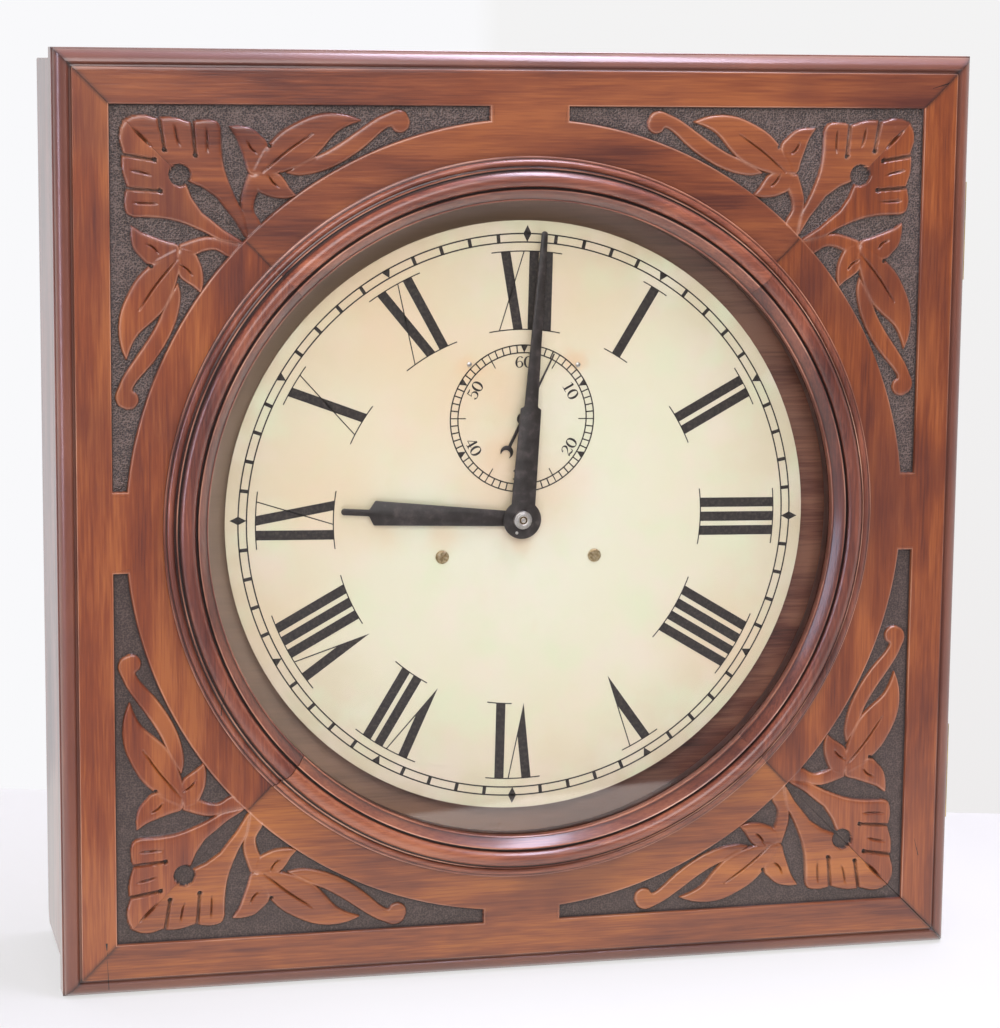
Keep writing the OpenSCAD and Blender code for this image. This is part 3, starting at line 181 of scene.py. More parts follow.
print("camera and stage")
cameraPlace = {
    "lens": 103.453, "sensor": 36.0, "location": (-0.428593, -1.825635, 0.268319),
    "right": (0.971428, -0.237154, 0.009262), "forward": (0.235821, 0.960099, -0.150327),
    "up": (0.026758, 0.148216, 0.988593),
}
cameraData = bpy.data.cameras.new("photoCamera")
cameraData.sensor_fit = "VERTICAL"
cameraData.sensor_height = cameraPlace["sensor"]
cameraData.lens = cameraPlace["lens"]
camera = bpy.data.objects.new("photoCamera", cameraData)
scene.collection.objects.link(camera)
turnToView = Matrix([cameraPlace["right"], cameraPlace["up"], [-a for a in cameraPlace["forward"]]]).transposed()
camera.matrix_world = Matrix.LocRotScale(Vector(cameraPlace["location"]), turnToView.to_quaternion(), None)
scene.camera = camera
scene.view_settings.view_transform = "Standard"

# The paper is white; the wall greyer right of the fold and low down, and the floor darker towards both sides, are
# painted shade
stageLook = {
    "floorLevel": -0.2765, "seamLeft": (-0.2709, 0.3780), "seamRight": (0.4374, 0.1548),
    "wallLeft": "#f9f9fb", "wallRight": "#f5f5f5", "wallLow": "#eeecec", "fold": (0.532, 0.541),
    "floorLeft": "#e4e3e2", "floorMiddle": "#f2f2f1", "floorRight": "#e4e3e3", "floorGlow": 0.72,
    "floorShine": 1.4, "world": 0.36, "worldInShine": 0.07, "worldSeen": 0.92,
}
# The paper ends along a sloping line in front of the clock, between the places out and full, which shows as an edge in
# the glass. Grey is its own, and mirrorGrey is what metal and glass see past that line and what the paper adds to it.
paperLook = {"slope": 0.285, "out": -0.53, "full": -0.518, "grey": 0.9, "mirrorGrey": (0.15, 0.75), "glassShine": 3.3}
# Soft boxes: place, target, size in metres and power in watts
lamps = {
    "frontSoftBox": ((-0.45, -2.35, 1.2), (0, -0.1, 0), (1.7, 1.3), 38.0),
    "overheadStrip": ((0.3, -0.09, 1.5), (0.1, -0.13, 0), (2.2, 0.3), 54.0),
    "leftStrip": ((-2.0, -0.5, 0.1), (-0.27, -0.14, 0), (0.4, 1.5), 18.0),
}


# Paper whose white the camera, metal and glass see, and which still takes a shadow
def paperMaterial(name, colour, glow, shineGlow):
    material, tree = emptyMaterial(name)
    path = addNode(tree, "ShaderNodeLightPath").outputs
    across = separate(tree, objectPlace(tree))
    edge = calc(tree, "MULTIPLY_ADD", across["X"], paperLook["slope"], across["Y"])
    near = remap(tree, edge, paperLook["out"], paperLook["full"])
    mirror = calc(tree, "MAXIMUM", path["Is Glossy Ray"], path["Is Transmission Ray"])
    seen = calc(tree, "MAXIMUM", calc(tree, "MULTIPLY", path["Is Camera Ray"], glow),
                calc(tree, "MULTIPLY", mirror, near))
    least, more = paperLook["mirrorGrey"]
    dim = mixValue(tree, mirror, paperLook["grey"], calc(tree, "MULTIPLY_ADD", near, more, least))
    grey = wire(tree, "ShaderNodeCombineColor", {0: dim, 1: dim, 2: dim})
    paper = wire(tree, "ShaderNodeBsdfDiffuse", {"Color": grey})
    # Glass mirrors the paper sharply, and shows it brighter than satin wood does
    sharp = calc(tree, "MULTIPLY", path["Is Glossy Ray"], path["Is Singular Ray"])
    strength = mixValue(tree, path["Is Glossy Ray"], 1.0, shineGlow)
    strength = mixValue(tree, sharp, strength, paperLook["glassShine"] * shineGlow)
    light = wire(tree, "ShaderNodeEmission", {"Color": colour(tree, across), "Strength": strength})
    both = wire(tree, "ShaderNodeMixShader", {0: seen, 1: paper, 2: light})
    # Seen from its other side the paper is clear, so that the clock's back shows
    backfacing = addNode(tree, "ShaderNodeNewGeometry").outputs["Backfacing"]
    behind = calc(tree, "MULTIPLY", backfacing, path["Is Camera Ray"])
    clear = wire(tree, "ShaderNodeBsdfTransparent")
    both = wire(tree, "ShaderNodeMixShader", {0: behind, 1: both, 2: clear})
    addNode(tree, "ShaderNodeOutputMaterial", {"Surface": both})
    return material


# Painted shade on the wall: greyer right of the fold, and more so low down
def wallPaintedShade(tree, across):
    side = remap(tree, across["X"], -1.0, 1.0)
    low = mixColour(tree, remap(tree, across["Z"], -0.3, 0.5), stageLook["wallLow"], stageLook["wallRight"])
    return mixColour(tree, remap(tree, side, *stageLook["fold"]), stageLook["wallLeft"], low)


# Painted shade on the floor: darker towards both sides
def floorPaintedShade(tree, across):
    left, middle, right = (stageLook["floor" + part] for part in ("Left", "Middle", "Right"))
    return ramp(tree, remap(tree, across["X"], -0.5, 0.5), (0.12, 0.4, 0.7, 0.9), (left, middle, middle, right))


def makeStage(look):
    left, right = Vector(look["seamLeft"]), Vector(look["seamRight"])
    along = (right - left).normalized()
    far = [left - 4 * along, right + 4 * along]
    low = look["floorLevel"]
    sheets = {
        "paleFloor": ([(-5, -5, low), (5, -5, low), (far[1].x, far[1].y, low), (far[0].x, far[0].y, low)],
                      floorPaintedShade, look["floorGlow"], look["floorShine"]),
        "paleWall": ([(far[0].x, far[0].y, low), (far[1].x, far[1].y, low),
                      (far[1].x, far[1].y, 4), (far[0].x, far[0].y, 4)], wallPaintedShade, 1.0, 1.0),
    }
    for name, (corners, colour, glow, shineGlow) in sheets.items():
        mesh = bpy.data.meshes.new(name)
        mesh.from_pydata(corners, [], [(0, 1, 2, 3)])
        mesh.materials.append(paperMaterial(name + "Paper", colour, glow, shineGlow))
        sheet = bpy.data.objects.new(name, mesh)
        scene.collection.objects.link(sheet)
    world = bpy.data.worlds.new("softRoom")
    scene.world = world
    world.use_nodes = True
    path = addNode(world.node_tree, "ShaderNodeLightPath").outputs
    strength = mixValue(world.node_tree, path["Is Glossy Ray"], look["world"], look["worldInShine"])
    strength = mixValue(world.node_tree, path["Is Camera Ray"], strength, look["worldSeen"])
    background = world.node_tree.nodes["Background"]
    background.inputs["Color"].default_value = (1, 1, 1, 1)
    world.node_tree.links.new(strength, background.inputs["Strength"])
    for name, (place, target, size, power) in lamps.items():
        lampData = bpy.data.lights.new(name, "AREA")
        lampData.shape = "RECTANGLE"
        lampData.size, lampData.size_y = size
        lampData.energy = power
        lampData.color = linear("#fdfcff" if name == "frontSoftBox" else "#ebe4ff")[:3]
        lamp = bpy.data.objects.new(name, lampData)
        scene.collection.objects.link(lamp)
        lamp.location = place
        lamp.rotation_euler = (Vector(target) - Vector(place)).to_track_quat("-Z", "Y").to_euler()


makeStage(stageLook)


# Makes a piece from points in millimetres. The faces are turned outwards if the solid is inside out.
def addPiece(name, points, faces, material, body, values=None, sharp=34, stands=()):
    points = np.asarray(points, float).reshape(-1, 3)
    quads = np.asarray(faces[0], int).reshape(-1, 4)
    rest = [list(face) for face in faces[1]]
    a, b, c, d = (points[quads[:, i]] for i in range(4))
    volume = np.einsum("ij,ij->i", a, np.cross(b, c)).sum() + np.einsum("ij,ij->i", a, np.cross(c, d)).sum()
    for face in rest:
        p = points[face]
        volume += np.einsum("j,ij->i", p[0], np.cross(p[1:-1], p[2:])).sum()
    if volume < 0:
        quads = quads[:, ::-1]
        rest = [face[::-1] for face in rest]
    index = np.concatenate([quads.ravel()] + [np.array(face) for face in rest])
    sizes = np.concatenate([np.full(len(quads), 4), np.array([len(face) for face in rest], int)]).astype(int)
    mesh = bpy.data.meshes.new(name)
    mesh.vertices.add(len(points))
    mesh.vertices.foreach_set("co", (points * mm).ravel())
    mesh.loops.add(len(index))
    mesh.loops.foreach_set("vertex_index", index)
    mesh.polygons.add(len(sizes))
    mesh.polygons.foreach_set("loop_start", np.concatenate([[0], np.cumsum(sizes)[:-1]]).astype(int))
    mesh.update(calc_edges=True)
    mesh.polygons.foreach_set("use_smooth", np.ones(len(sizes), bool))
    for key, value in (values or {}).items():
        mesh.attributes.new(key, "FLOAT", "POINT").data.foreach_set("value", np.asarray(value, np.float32).ravel())
    mesh.set_sharp_from_angle(angle=math.radians(sharp))
    mesh.materials.append(material)
    return settle(bpy.data.objects.new(name, mesh), body, stands)


# Adds a piece turned from a section
def addTurned(name, section, steps, middle, material, body, stands=(), axis="y"):
    return addPiece(name, turnedLoops(section, steps, middle, axis), loopFaces(steps, len(section), True), material,
                    body, stands=stands)


# The plain mesh that a piece has after its modifiers
def evaluatedMesh(piece):
    return bpy.data.meshes.new_from_object(piece.evaluated_get(bpy.context.evaluated_depsgraph_get()))


def settle(piece, body, stands=()):
    if piece.name not in scene.collection.objects:
        scene.collection.objects.link(piece)
    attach(piece, body)
    if stands:
        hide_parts(*stands)
    return piece


# Faces between loops of points. Each loop is closed, and the stack is closed round or capped at both ends.
def loopFaces(loops, count, closedRound=False):
    steps = loops if closedRound else loops - 1
    i, j = np.meshgrid(np.arange(steps), np.arange(count), indexing="ij")
    nextI, nextJ = (i + 1) % loops, (j + 1) % count
    quads = np.stack([i * count + j, i * count + nextJ, nextI * count + nextJ, nextI * count + j], -1).reshape(-1, 4)
    caps = [] if closedRound else [list(range(count))[::-1], list(range((loops - 1) * count, loops * count))]
    return quads, caps


# Turned piece: a closed section of [radius, level] swept round an axis
def turnedLoops(section, steps, middle, axis="y"):
    section = np.asarray(section, float)
    angle = np.arange(steps) * 2 * math.pi / steps
    r, h = section[None, :, 0], section[None, :, 1]
    side, up = r * np.sin(angle)[:, None], r * np.cos(angle)[:, None]
    along = np.broadcast_to(h, side.shape)
    parts = (side, along, up) if axis == "y" else (side, up, along)
    return np.stack(parts, -1) + np.asarray(middle, float)


def onTurnedDial(x, z):
    a = math.radians(dialTurn)
    return x * math.cos(a) + z * math.sin(a), z * math.cos(a) - x * math.sin(a)


# Old varnished cherry-red wood, planed and French polished: long fibres, soft dark blotches, light arrises that are
# partly wear and partly painted highlights, and painted shade in hollows
def varnishedWood(name, look):
    material, tree, shader = newMaterial(name, {"Coat Weight": look.get("coat", 0.5), "Coat Roughness": 0.16})
    place = objectPlace(tree)
    board = wire(tree, "ShaderNodeMapping", {"Vector": place, "Rotation": (0, math.radians(look["turn"]), 0),
                                             "Location": look["shift"]})
    # Stretches along the grain, in waves to a metre; the fibres are drawn at 1.2 mm, coarser than real ones
    waves = {"blotch": ((8, 24, 26), 3), "figure": ((3, 75, 75), 2), "fibre": ((34, 820, 820), 3),
             "pores": ((130, 1900, 1900), 1), "stain": ((9, 13, 12), 2)}
    pattern = {}
    for key, (stretch, detail) in waves.items():
        grain = wire(tree, "ShaderNodeMapping", {"Vector": board, "Scale": stretch})
        pattern[key] = noise(tree, grain, 1.0, detail, 0.55, 0.35)
    value = calc(tree, "MULTIPLY", pattern["blotch"], look.get("blotch", 0.5))
    value = calc(tree, "MULTIPLY_ADD", pattern["figure"], 0.32, value)
    value = calc(tree, "MULTIPLY_ADD", pattern["fibre"], 0.3, value)
    colour = ramp(tree, value, (0.43, 0.55, 0.67), look["shades"])
    spots = remap(tree, pattern["stain"], 0.56, 0.78, 0.0, look.get("stainAmount", 0.7))
    colour = mixColour(tree, spots, colour, look["stain"])
    if "dustAndLight" in look:
        # Lighter towards the upper left: settled dust and a painted reflection
        side = vectorCalc(tree, "DOT_PRODUCT", place, (-1, 0, 0.5))
        colour = mixColour(tree, remap(tree, side, -0.15, 0.2, 0.0, 0.85), colour, look["dustAndLight"])
    mark = {key: addNode(tree, "ShaderNodeAttribute", attribute_name=key).outputs["Fac"]
            for key in ("ground", "wear", "grime", "moulding", "stipple")}
    # The moulded edge takes a darker wood colour: painted shade under the coat's sheen
    shadedMoulding = mixColour(tree, pattern["blotch"], look["mouldingShadeDark"], look["mouldingShadeLight"])
    colour = mixColour(tree, calc(tree, "MULTIPLY", mark["moulding"], 0.8), colour, shadedMoulding)
    # Ground punched all over with a small tool, about 1.1 mm from mark to mark, and worn smooth in the lower corners;
    # its light and dark specks are partly painted highlights and painted shade on the dimples
    punch = wire(tree, "ShaderNodeTexVoronoi", {"Vector": place, "Scale": 900.0, "Randomness": 0.8})
    spread = calc(tree, "MULTIPLY_ADD", noise(tree, place, 160.0, 2.0), 0.5, punch)
    spread = mixValue(tree, mark["stipple"], 0.62, spread)
    sunk = ramp(tree, spread, (0.40, 0.64, 0.92), look["groundTonesAndGlints"])
    colour = mixColour(tree, mark["ground"], colour, sunk)
    # Painted shade, with some grime, in the quirk, the carved veins, on the ground at the foot of the carving and in
    # the bezel's grooves, and a dark line along the mitres
    colour = mixColour(tree, calc(tree, "MULTIPLY", mark["grime"], 1.0, clamp=True), colour, look["grime"])
    # Painted highlights, with some wear, along the arrises
    rubbedAndLit = calc(tree, "MULTIPLY", remap(tree, pattern["blotch"], 0.38, 0.62), mark["wear"], clamp=True)
    colour = mixColour(tree, rubbedAndLit, colour, look["wornHighlight"])
    # Old cracks: thin dark wedges between two points, with the widest opening in mm
    for (ax, az), (bx, bz), opening in look.get("cracks", []):
        length = math.hypot(bx - ax, bz - az)
        along = ((bx - ax) / length, 0, (bz - az) / length)
        start = vectorCalc(tree, "SUBTRACT", place, (ax, 0, az))
        run = vectorCalc(tree, "DOT_PRODUCT", start, along)
        away = calc(tree, "ABSOLUTE", vectorCalc(tree, "DOT_PRODUCT", start, (-along[2], 0, along[0])))
        inside = calc(tree, "LESS_THAN", away, remap(tree, run, 0.0, length, 0.15 * opening * mm, 0.5 * opening * mm))
        between = calc(tree, "MULTIPLY", calc(tree, "GREATER_THAN", run, 0.0), calc(tree, "LESS_THAN", run, length))
        colour = mixColour(tree, calc(tree, "MULTIPLY", inside, between), colour, look["crack"])
    rough = calc(tree, "MULTIPLY_ADD", mark["ground"], 0.3, remap(tree, pattern["stain"], 0.0, 1.0, 0.32, 0.46))
    smooth = calc(tree, "MULTIPLY_ADD", pattern["pores"], 0.06, calc(tree, "MULTIPLY", pattern["fibre"], 0.12))
    height = mixValue(tree, mark["ground"], smooth, calc(tree, "MULTIPLY", spread, 0.9))
    bump = bumps(tree, height, 0.75, 0.0007)
    feed(tree, shader, {"Base Color": colour, "Roughness": rough, "Normal": bump, "Coat Normal": bump})
    return material


# Three shades in soft clouds, which are also where it is duller
def cloudyMaterial(name, look, flat, detail, places):
    material, tree, shader = newMaterial(name, flat)
    place = objectPlace(tree)
    cloud = noise(tree, place, look.get("cloud", 90.0), 4.0, detail)
    feed(tree, shader, {"Base Color": ramp(tree, cloud, places, look["shades"]),
                        "Roughness": remap(tree, cloud, 0.3, 0.7, *look["rough"])})
    return material, tree, shader, place


# Metal with soft cloudy tarnish and fine turning or brushing marks, drawn at 0.8 mm so that they show
def agedMetal(name, look):
    material, tree, shader, place = cloudyMaterial(name, look, {"Metallic": 1.0}, 0.5, (0.34, 0.5, 0.68))
    lines = wire(tree, "ShaderNodeMapping", {"Vector": place, "Scale": look.get("lines", (60, 1250, 1250))})
    feed(tree, shader, {"Normal": bumps(tree, noise(tree, lines, 1.0, 2.0), 0.25, 0.00008)})
    return material


# Paint or lacquer over metal, brushed or stoved: slight orange peel, and dust in soft patches
def agedPaint(name, look):
    coat = {"Coat Weight": look.get("coat", 0.0), "Coat Roughness": 0.3}
    material, tree, shader, place = cloudyMaterial(name, look, coat, 0.6, (0.36, 0.52, 0.68))
    feed(tree, shader, {"Normal": bumps(tree, noise(tree, place, 900.0, 2.0), 0.2, 0.00015)})
    return material


mouldingLook = {"mouldingShadeDark": "#47261f", "mouldingShadeLight": "#80503f",
                "groundTonesAndGlints": ("#271d1a", "#40322b", "#66544a"), "wornHighlight": "#cfa285", "stain": "#52241a",
                "grime": "#251917", "crack": "#1a100d"}
# Three shades from dark to light, the way that the grain runs in degrees, and where in the pattern the board is cut
woodLook = {
    "topRail": {"shades": ("#55281a", "#763c20", "#8f5028"), "turn": 0, "shift": (0.1, 0.2, 0.3),
                "cracks": [((0.2493, 0.2566), (0.2665, 0.2618), 0.9)]},
    "rightStile": {"shades": ("#5a2918", "#7a3b19", "#965224"), "turn": 90, "shift": (0.5, 0.1, 0.7),
                   "cracks": [((0.2521, -0.2066), (0.2551, -0.2177), 0.5)]},
    "bottomRail": {"shades": ("#5e2d1c", "#834621", "#a25f26"), "turn": 0, "shift": (0.9, 0.4, 0.2),
                   "cracks": [((-0.2508, -0.2525), (-0.2497, -0.272), 0.5)]},
    "leftStile": {"shades": ("#5c2818", "#7c3a18", "#9a5626"), "turn": 90, "shift": (0.3, 0.8, 0.6),
                  "cracks": [((-0.2508, -0.2475), (-0.2510, -0.2430), 1.3),
                             ((-0.2508, -0.2475), (-0.2503, -0.2525), 0.5)]},
    "bezelTop": {"shades": ("#552c22", "#7f4631", "#a05f42"), "turn": 0, "shift": (0.2, 0.6, 0.1)},
    "bezelRight": {"shades": ("#46231c", "#6e3a29", "#8f5138"), "turn": 90, "shift": (0.7, 0.2, 0.4)},
    "bezelBottom": {"shades": ("#542b21", "#80462f", "#a0603f"), "turn": 0, "shift": (0.4, 0.3, 0.9)},
    "bezelLeft": {"shades": ("#46231d", "#6c392a", "#8f5238"), "turn": 90, "shift": (0.6, 0.9, 0.3),
                  "cracks": [((-0.1812, -0.0830), (-0.1826, -0.0957), 0.35),
                             ((-0.1826, -0.0957), (-0.1838, -0.1083), 0.6)]},
    "caseSide": {"shades": ("#54302a", "#71453a", "#8a5a4c"), "turn": 90, "shift": (0.8, 0.5, 0.5)},
    "caseEnd": {"shades": ("#54302a", "#71453a", "#8a5a4c"), "turn": 0, "shift": (0.1, 0.7, 0.8)},
    "mat": {"shades": ("#4c2c25", "#754636", "#9a6850"), "turn": 0, "shift": (0.2, 0.2, 0.9), "coat": 0.1,
            "blotch": 0.6, "stain": "#8a6754", "stainAmount": 0.6, "dustAndLight": "#bda58a"},
    # Very dark wood: painted shade inside the bezel's lip
    "shadedGlassRing": {"shades": ("#33221e", "#46302a", "#5c4038"), "turn": 0, "shift": (0.5, 0.5, 0.1), "coat": 0.1},
    "back": {"shades": ("#765036", "#976c49", "#b68a62"), "turn": 90, "shift": (0.3, 0.3, 0.3), "coat": 0.0},
}
wood = {key: varnishedWood(key + "VarnishedWood", {**mouldingLook, **look}) for key, look in woodLook.items()}
metal = {
    # Rolled brass plate, lacquered long ago and dulled
    "brass": agedMetal("dulledRolledBrass", {"shades": ("#8a6a34", "#b08f52", "#c9aa6c"), "rough": (0.3, 0.48)}),
    # Turned and polished brass
    "brightBrass": agedMetal("polishedTurnedBrass", {"shades": ("#b08a45", "#cfa85c", "#e0c07c"),
                                                     "rough": (0.16, 0.3), "lines": (1250, 60, 1250)}),
    # Brass screw heads browned by age and fingers
    "screwBrass": agedMetal("brownedScrewBrass", {"shades": ("#a08a62", "#cbb48c", "#e6d8bc"),
                                                  "rough": (0.46, 0.6), "cloud": 700.0}),
    # Nickel plate on a turned nut
    "nickel": agedMetal("turnedNickelPlate", {"shades": ("#cfc8c2", "#e6e1dc", "#f4f1ee"),
                                              "rough": (0.38, 0.52), "cloud": 400.0, "lines": (300, 1250, 300)}),
    # Ground and hardened steel arbors
    "steel": agedMetal("groundSteel", {"shades": ("#74767a", "#96989b", "#b3b5b8"), "rough": (0.25, 0.4)}),
    # Bare soft iron with a brown bloom
    "softIron": agedMetal("bareSoftIron", {"shades": ("#4d4846", "#6b6765", "#86827f"), "rough": (0.42, 0.6)}),
}
paint = {
    # Cast iron, black japanned
    "japan": agedPaint("blackJapannedIron", {"shades": ("#17120f", "#221d1a", "#302a27"), "cloud": 120.0,
                                             "rough": (0.3, 0.5), "coat": 0.4}),
    # Blued hands painted black, satin with a little brown dust
    "handBlack": agedPaint("satinBlackPaint", {"shades": ("#272019", "#332b27", "#4c433e"), "cloud": 160.0,
                                               "rough": (0.36, 0.55), "coat": 0.25}),
    # Black litho print, slightly open
    "ink": agedPaint("blackPrint", {"shades": ("#29231f", "#38312c", "#4c443d"), "cloud": 500.0,
                                    "rough": (0.5, 0.7)}),
    # Cotton covered magnet wire, dark red
    "coilWire": agedPaint("cottonCoveredWire", {"shades": ("#4d1c15", "#722d22", "#8c4334"), "cloud": 600.0,
                                                "rough": (0.7, 0.85)}),
    # Printed paper jacket of a dry cell, plain green
    "jacket": agedPaint("greenPaperJacket", {"shades": ("#2f4a3a", "#3c5a47", "#56735f"), "cloud": 60.0,
                                             "rough": (0.6, 0.8)}),
    # Poured pitch that seals a dry cell
    "pitch": agedPaint("pouredPitch", {"shades": ("#15120f", "#211d19", "#332d28"), "cloud": 200.0,
                                       "rough": (0.35, 0.6), "coat": 0.3}),
    # Pressed fibre block
    "fibre": agedPaint("pressedFibre", {"shades": ("#5b241c", "#743126", "#8a4536"), "cloud": 200.0,
                                        "rough": (0.5, 0.65)}),
}


# Sheet zinc enamelled cream: yellowed to the rim, with peach stains round the arbors and the upper left, and peach
# painted shadows along the hands and under the two pins
def dialEnamel():
    material, tree, shader = newMaterial("agedCreamEnamel", {"Coat Weight": 0.12, "Coat Roughness": 0.3})
    flat = wire(tree, "ShaderNodeMapping", {"Vector": objectPlace(tree), "Scale": (1, 0, 1)})
    cloud, fine = noise(tree, flat, 16.0, 4.0, 0.55), noise(tree, flat, 70.0, 4.0, 0.6)
    reach = calc(tree, "MULTIPLY_ADD", cloud, 0.075, vectorCalc(tree, "LENGTH", flat))
    colour = ramp(tree, reach, (0.03, 0.10, 0.16, 0.205, 0.225),
                  ("#e6e4cd", "#e5e2c5", "#e4debe", "#ded2b0", "#d6c6a2"))
    # Greenish and pinkish clouds in the old enamel, some 30 mm across
    for at, tint, most in ((3.0, "#dde2bc", 0.7), (7.0, "#eedccb", 0.4)):
        patch = noise(tree, vectorCalc(tree, "ADD", flat, (at, 0, at)), 30.0, 3.0)
        colour = mixColour(tree, remap(tree, patch, 0.48, 0.68, 0.0, most), colour, tint)
    # Stains and painted shadows: middle, reach and strength, in metres and parts of the peach colour; the small spots
    # along the hour and minute hands and under the two dial pins are painted shadows
    stainsAndShadows = [((-0.036, 0.078), 0.07, 0.55), ((0.0, 0.02), 0.05, 0.6), ((-0.12, 0.02), 0.06, 0.5),
              ((-0.09, 0.13), 0.09, 0.55), ((0.03, 0.13), 0.06, 0.4), ((-0.15, -0.06), 0.05, 0.35),
              ((0.13, -0.08), 0.05, 0.4), ((0.02, -0.14), 0.06, 0.15), ((-0.002, -0.012), 0.016, 0.8),
              ((-0.033, 0.093), 0.006, 0.7), ((0.035, 0.093), 0.006, 0.8), ((-0.045, -0.010), 0.014, 0.5),
              ((-0.08, -0.008), 0.014, 0.4), ((-0.012, 0.04), 0.016, 0.5), ((-0.010, 0.07), 0.014, 0.4)]
    for (x, z), far, amount in stainsAndShadows:
        edge = calc(tree, "MULTIPLY_ADD", cloud, 0.06, vectorCalc(tree, "DISTANCE", flat, (x, 0, z)))
        part = remap(tree, edge, 0.03, far + 0.035, amount, 0.0, interpolation_type="SMOOTHSTEP")
        colour = mixColour(tree, part, colour, "#e6c69c")
    colour = mixColour(tree, remap(tree, fine, 0.60, 0.80, 0.0, 0.22), colour, "#d9c79a")
    feed(tree, shader, {"Base Color": colour, "Roughness": remap(tree, fine, 0.0, 1.0, 0.4, 0.6),
                        "Normal": bumps(tree, fine, 0.1, 0.0002)})
    return material


# Drawn window glass, clear, that shows the room only by Fresnel
def clearGlass():
    material, tree = emptyMaterial("clearWindowGlass")
    bump = bumps(tree, noise(tree, objectPlace(tree), 14.0, 1.0), 0.3, 0.0006)
    bend = wire(tree, "ShaderNodeFresnel", {"IOR": 1.5, "Normal": bump})
    clear = wire(tree, "ShaderNodeBsdfTransparent", {"Color": (0.996, 0.998, 0.996, 1)})
    shine = wire(tree, "ShaderNodeBsdfGlossy", {"Roughness": 0.0, "Normal": bump})
    # Both faces of the pane shine, so each takes half
    both = wire(tree, "ShaderNodeMixShader", {0: calc(tree, "MULTIPLY", bend, 0.5), 1: clear, 2: shine})
    addNode(tree, "ShaderNodeOutputMaterial", {"Surface": both})
    return material


enamel = dialEnamel()
glass = clearGlass()

print("door boards")
door = {"half": 276.0, "front": -146.0, "back": -122.0, "opening": 197.0, "flat": 265.2, "quirk": 1.9,
        "quirkDepth": 2.2, "beadDrop": 8.3, "ground": 245.0, "bar": 23.5, "ring": 237.0, "depth": 3.0,
        "pocket": 4.0, "ringIn": 236.0, "railOut": 245.4, "barIn": 0.0902, "gapFrom": 165, "gapRun": 110}
boards = [("TopRail", 0, wood["topRail"], "rail_wood", "door_top_rail", (0.07, 0.0), (0.07, 0.0)),
          ("RightStile", 1, wood["rightStile"], "stile_wood", "door_right_stile", (0.07, 0.0), (0.05, 0.30)),
          ("BottomRail", 2, wood["bottomRail"], "rail_wood", "door_bottom_rail", (0.05, 0.30), (0.07, 0.0)),
          ("LeftStile", 3, wood["leftStile"], "stile_wood", "door_left_stile", (0.07, 0.0), (0.07, 0.0))]


def turnQuarter(points, quarter):
    x, y, z = points[..., 0], points[..., 1], points[..., 2]
    for _ in range(quarter):
        x, z = z, -x
    return np.stack([x, y, z], -1)


# Half width of the open mitre, in mm, which grows to the corner on the door's lower right
def mitreGap(z, gap):
    return gap[0] + gap[1] * np.clip((z - door["gapFrom"]) / door["gapRun"], 0, 1)


def mouldedEdge():
    crown = door["flat"] + door["quirk"]
    reach = door["half"] - 0.8 - crown
    front = door["front"]
    points = [(front, door["flat"] - 0.45), (front + 0.12, door["flat"] - 0.1), (front + 0.4, door["flat"]),
              (front + door["quirkDepth"] - 0.3, door["flat"] + 0.05),
              (front + door["quirkDepth"], door["flat"] + 0.5), (front + door["quirkDepth"], crown - 0.5),
              (front + 1.7, crown - 0.15)]
    for a in range(8, 91, 6):
        points.append((front + 0.8 + (door["beadDrop"] - 0.8) * (1 - math.cos(math.radians(a))),
                       crown + reach * math.sin(math.radians(a))))
    low = front + door["beadDrop"]
    points += [(low, door["half"] - 0.75), (low + 0.08, door["half"] - 0.3), (low + 0.4, door["half"]),
               (door["back"] - 0.4, door["half"]), (door["back"], door["half"] - 0.4)]
    return np.array(points)


def boardCore(name, quarter, material, slot, node, gapLow, gapHigh):
    fine = np.linspace(door["barIn"], 1, 88)
    columns = np.concatenate([-fine[::-1], [-0.0898], np.linspace(-0.08, 0.08, 16), [0.0898], fine])
    edge = mouldedEdge()
    loops, marks = [], {"moulding": [], "grime": [], "wear": []}
    for s in columns:
        root = math.hypot(1, s)
        inner, ring = door["opening"] / root, door["ringIn"] / root
        floor = door["front"] + (door["pocket"] if abs(s) > 0.09 else 0.0)
        stations = [(door["back"], inner), (door["front"] + 0.5, inner), (door["front"], inner + 0.5),
                    (door["front"], ring - 0.4), (door["front"], ring), (floor, ring), (floor, door["railOut"]),
                    (door["front"], door["railOut"]), (door["front"], door["railOut"] + 0.4),
                    (door["front"], door["flat"] - 2)] + [tuple(p) for p in edge]
        y, z = np.array(stations).T
        gap = mitreGap(z, gapHigh if s > 0 else gapLow)
        loops.append(np.stack([s * (z - gap * abs(s) ** 8), y, z], -1))
        marks["moulding"].append(np.clip((z - door["flat"] - 0.2) / 0.5, 0, 1))
        # Painted shade in the quirk, and a dark line along the mitre joint
        quirk = (z > door["flat"] + 0.02) & (z < door["flat"] + door["quirk"]) & (y > door["front"] + 1.5)
        nearMitre = np.exp(-(1 - abs(s)) * z / 1.2) * (y < door["front"] + 9)
        marks["grime"].append(np.where(quirk, 0.3, 0.0) + 0.65 * nearMitre)
        # Painted highlights, partly wear, on the arris at the flat's edge and on the outer fillet
        marks["wear"].append(np.where(abs(z - door["flat"] + 0.1) < 0.15, 0.75, 0.0) + np.where(y > -138.2, 0.0, 0.05)
                             * (z > 274))
    points = turnQuarter(np.array(loops), quarter)
    return addPiece("door" + name, points, loopFaces(len(columns), len(loops[0])), material, "door",
                    {key: np.clip(np.array(value), 0, 1) for key, value in marks.items()}, stands=[node])


